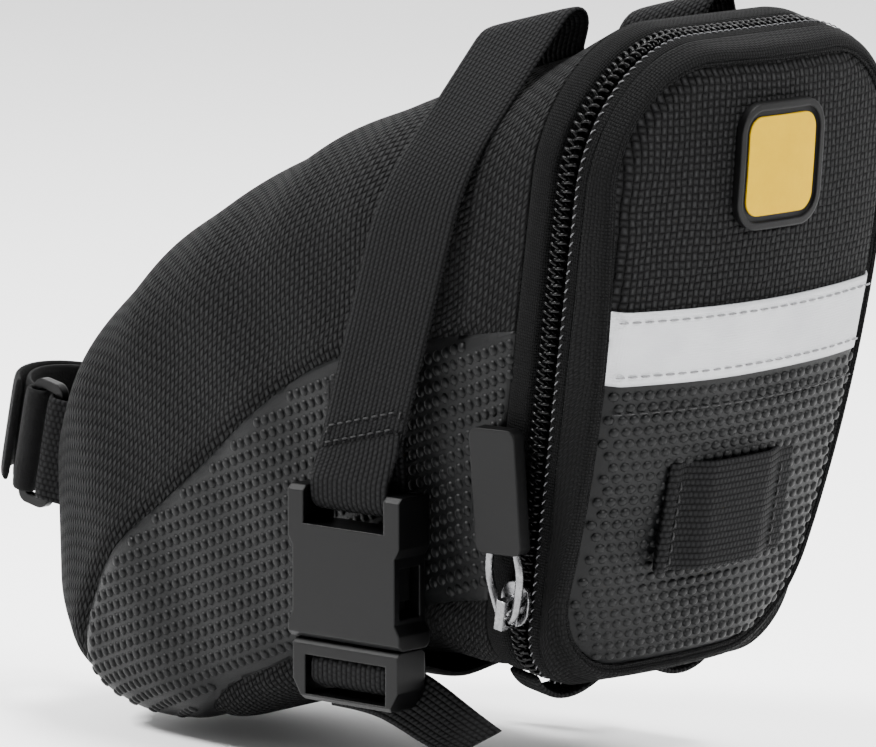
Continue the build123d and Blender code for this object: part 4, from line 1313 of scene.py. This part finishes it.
# ---------------------------------------------------------------- hard parts
# Half of the pull's wire ring, as (across, along) from the slider's bridge, and where that pin stands.
RING_HALF = [(0, -1.0), (1.5, -0.2), (2.6, 2.2), (3.5, 5.4), (3.9, 8.6), (3.5, 11.8), (2.6, 14.2), (0, 14.9)]
PIN_DROP, PIN_STAND = 2.1, 3.15
RING_WIRE_R = 0.85


def build_pull_ring():
    """Plated wire ring of the pull: wide at the cover, narrowing to the slider's bridge."""
    slant = (RIM["top_half"] - RIM["bottom_half"]) / (RIM["top"] - RIM["bottom"])
    up = np.array([ZIP_UP[0], -slant, ZIP_UP[2]])
    up /= np.linalg.norm(up)
    outward = np.cross(ZIP_NORMAL, up)
    across = ZIP_NORMAL * cos(PULL_LEAN) + up * sin(PULL_LEAN)
    along = np.cross(outward, across)
    v = SLIDER_Z * ZIP_SCALE
    foot = zip_point(-(RIM["bottom_half"] + slant * (v - RIM["bottom"])), v, 0).ravel()
    pin = foot - PIN_DROP * up + PIN_STAND * outward
    outline = RING_HALF + [(-a, b) for a, b in RING_HALF[-2:0:-1]]
    loop = spline(outline + outline[:1], 90)[:-1]
    line = pin + loop[:, :1] * across + loop[:, 1:] * along
    wire("pull_ring_wire", line, RING_WIRE_R, 10, NICKEL, "pull", ["pull_link"], "dark_nickel", closed=True)


def dress(node, material):
    """Give a CAD node that stays in view its finish."""
    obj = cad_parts[node]
    obj.data.materials.clear()
    obj.data.materials.append(material)


build_body()
build_zipper()
build_lid()
both_sides(build_strap)
both_sides(build_lower_strap)
build_post_strap()
for word in ("left", "right"):
    for part in ("buckle_socket", "buckle_plug", "front_prong", "rear_prong"):
        dress(f"{word}_{part}", PLASTIC)
dress("post_ring", PLASTIC)
dress("slider_body", NICKEL)
build_pull_ring()
dress("pull_cover", RUBBER)
dress("badge", RUBBER)
dress("badge_inset", YELLOW)


# ---------------------------------------------------------------- studio
LIGHT_TARGET = (-0.03, -0.01, -0.07)
PHOTO_TURN, PHOTO_LIFT = radians(41.5), radians(8.5)
PHOTO_TARGET = (-0.02048, -0.03092, -0.06614)
PHOTO_DISTANCE = 1.5
FLOOR_HALF, FLOOR_DROP = 6.0, 0.003
# World light by direction: 1 is level and towards the photo's side. It is fixed in the world.
PHOTO_SIDE = (0.66, -0.75, 0.0)
WORLD_FADE = {"From Min": -0.9, "From Max": 0.45, "To Min": 2.6, "To Max": 0.22}


def area_light(name, place, size, power):
    """Soft rectangular light that looks at the part, in metres and watts."""
    lamp = bpy.data.lights.new(name, "AREA")
    lamp.shape = "RECTANGLE"
    lamp.size, lamp.size_y = size
    lamp.energy = power
    obj = bpy.data.objects.new(name, lamp)
    obj.location = place
    obj.rotation_euler = (Vector(LIGHT_TARGET) - Vector(place)).to_track_quat("-Z", "Y").to_euler()
    bpy.context.scene.collection.objects.link(obj)


def shade_backdrop(tree):
    """World light that is strong behind the part and fades to weak on the photo's side."""
    place = tree.nodes.new("ShaderNodeTexCoord")
    dot = tree.nodes.new("ShaderNodeVectorMath")
    dot.operation = "DOT_PRODUCT"
    dot.inputs[1].default_value = PHOTO_SIDE
    tree.links.new(place.outputs["Generated"], dot.inputs[0])
    spread = tree.nodes.new("ShaderNodeMapRange")
    tree.links.new(dot.outputs["Value"], spread.inputs["Value"])
    for socket, value in WORLD_FADE.items():
        spread.inputs[socket].default_value = value
    tree.links.new(spread.outputs["Result"], tree.nodes["Background"].inputs["Strength"])


def build_studio():
    """Pale floor, soft lights and the camera."""
    size, z = FLOOR_HALF, cad_box[0][2] - FLOOR_DROP
    mesh = bpy.data.meshes.new("studio_floor")
    mesh.from_pydata([(-size, -size, z), (size, -size, z), (size, size, z), (-size, size, z)], [], [(0, 1, 2, 3)])
    mesh.materials.append(floor_finish("studio_floor"))
    floor = bpy.data.objects.new("studio_floor", mesh)
    bpy.context.scene.collection.objects.link(floor)
    world = bpy.data.worlds.new("studio")
    world.use_nodes = True
    world.node_tree.nodes["Background"].inputs[0].default_value = (1, 1, 1, 1)
    shade_backdrop(world.node_tree)
    bpy.context.scene.world = world
    area_light("key", (-0.75, -0.7, 0.95), (0.35, 0.35), 46)
    area_light("rear_fill", (1.05, 0.15, 0.75), (0.4, 0.4), 30)
    area_light("top", (0.05, 0.1, 1.2), (0.5, 0.3), 34)
    level = cos(PHOTO_LIFT)
    back = Vector((sin(PHOTO_TURN) * level, -cos(PHOTO_TURN) * level, sin(PHOTO_LIFT)))
    camera = bpy.data.cameras.new("photo_view")
    camera.sensor_fit = "HORIZONTAL"
    camera.sensor_width = 36.0
    camera.lens = 317.5
    obj = bpy.data.objects.new("photo_view", camera)
    obj.location = Vector(PHOTO_TARGET) + back * PHOTO_DISTANCE
    obj.rotation_euler = (-back).to_track_quat("-Z", "Y").to_euler()
    bpy.context.scene.collection.objects.link(obj)
    bpy.context.scene.camera = obj


build_studio()
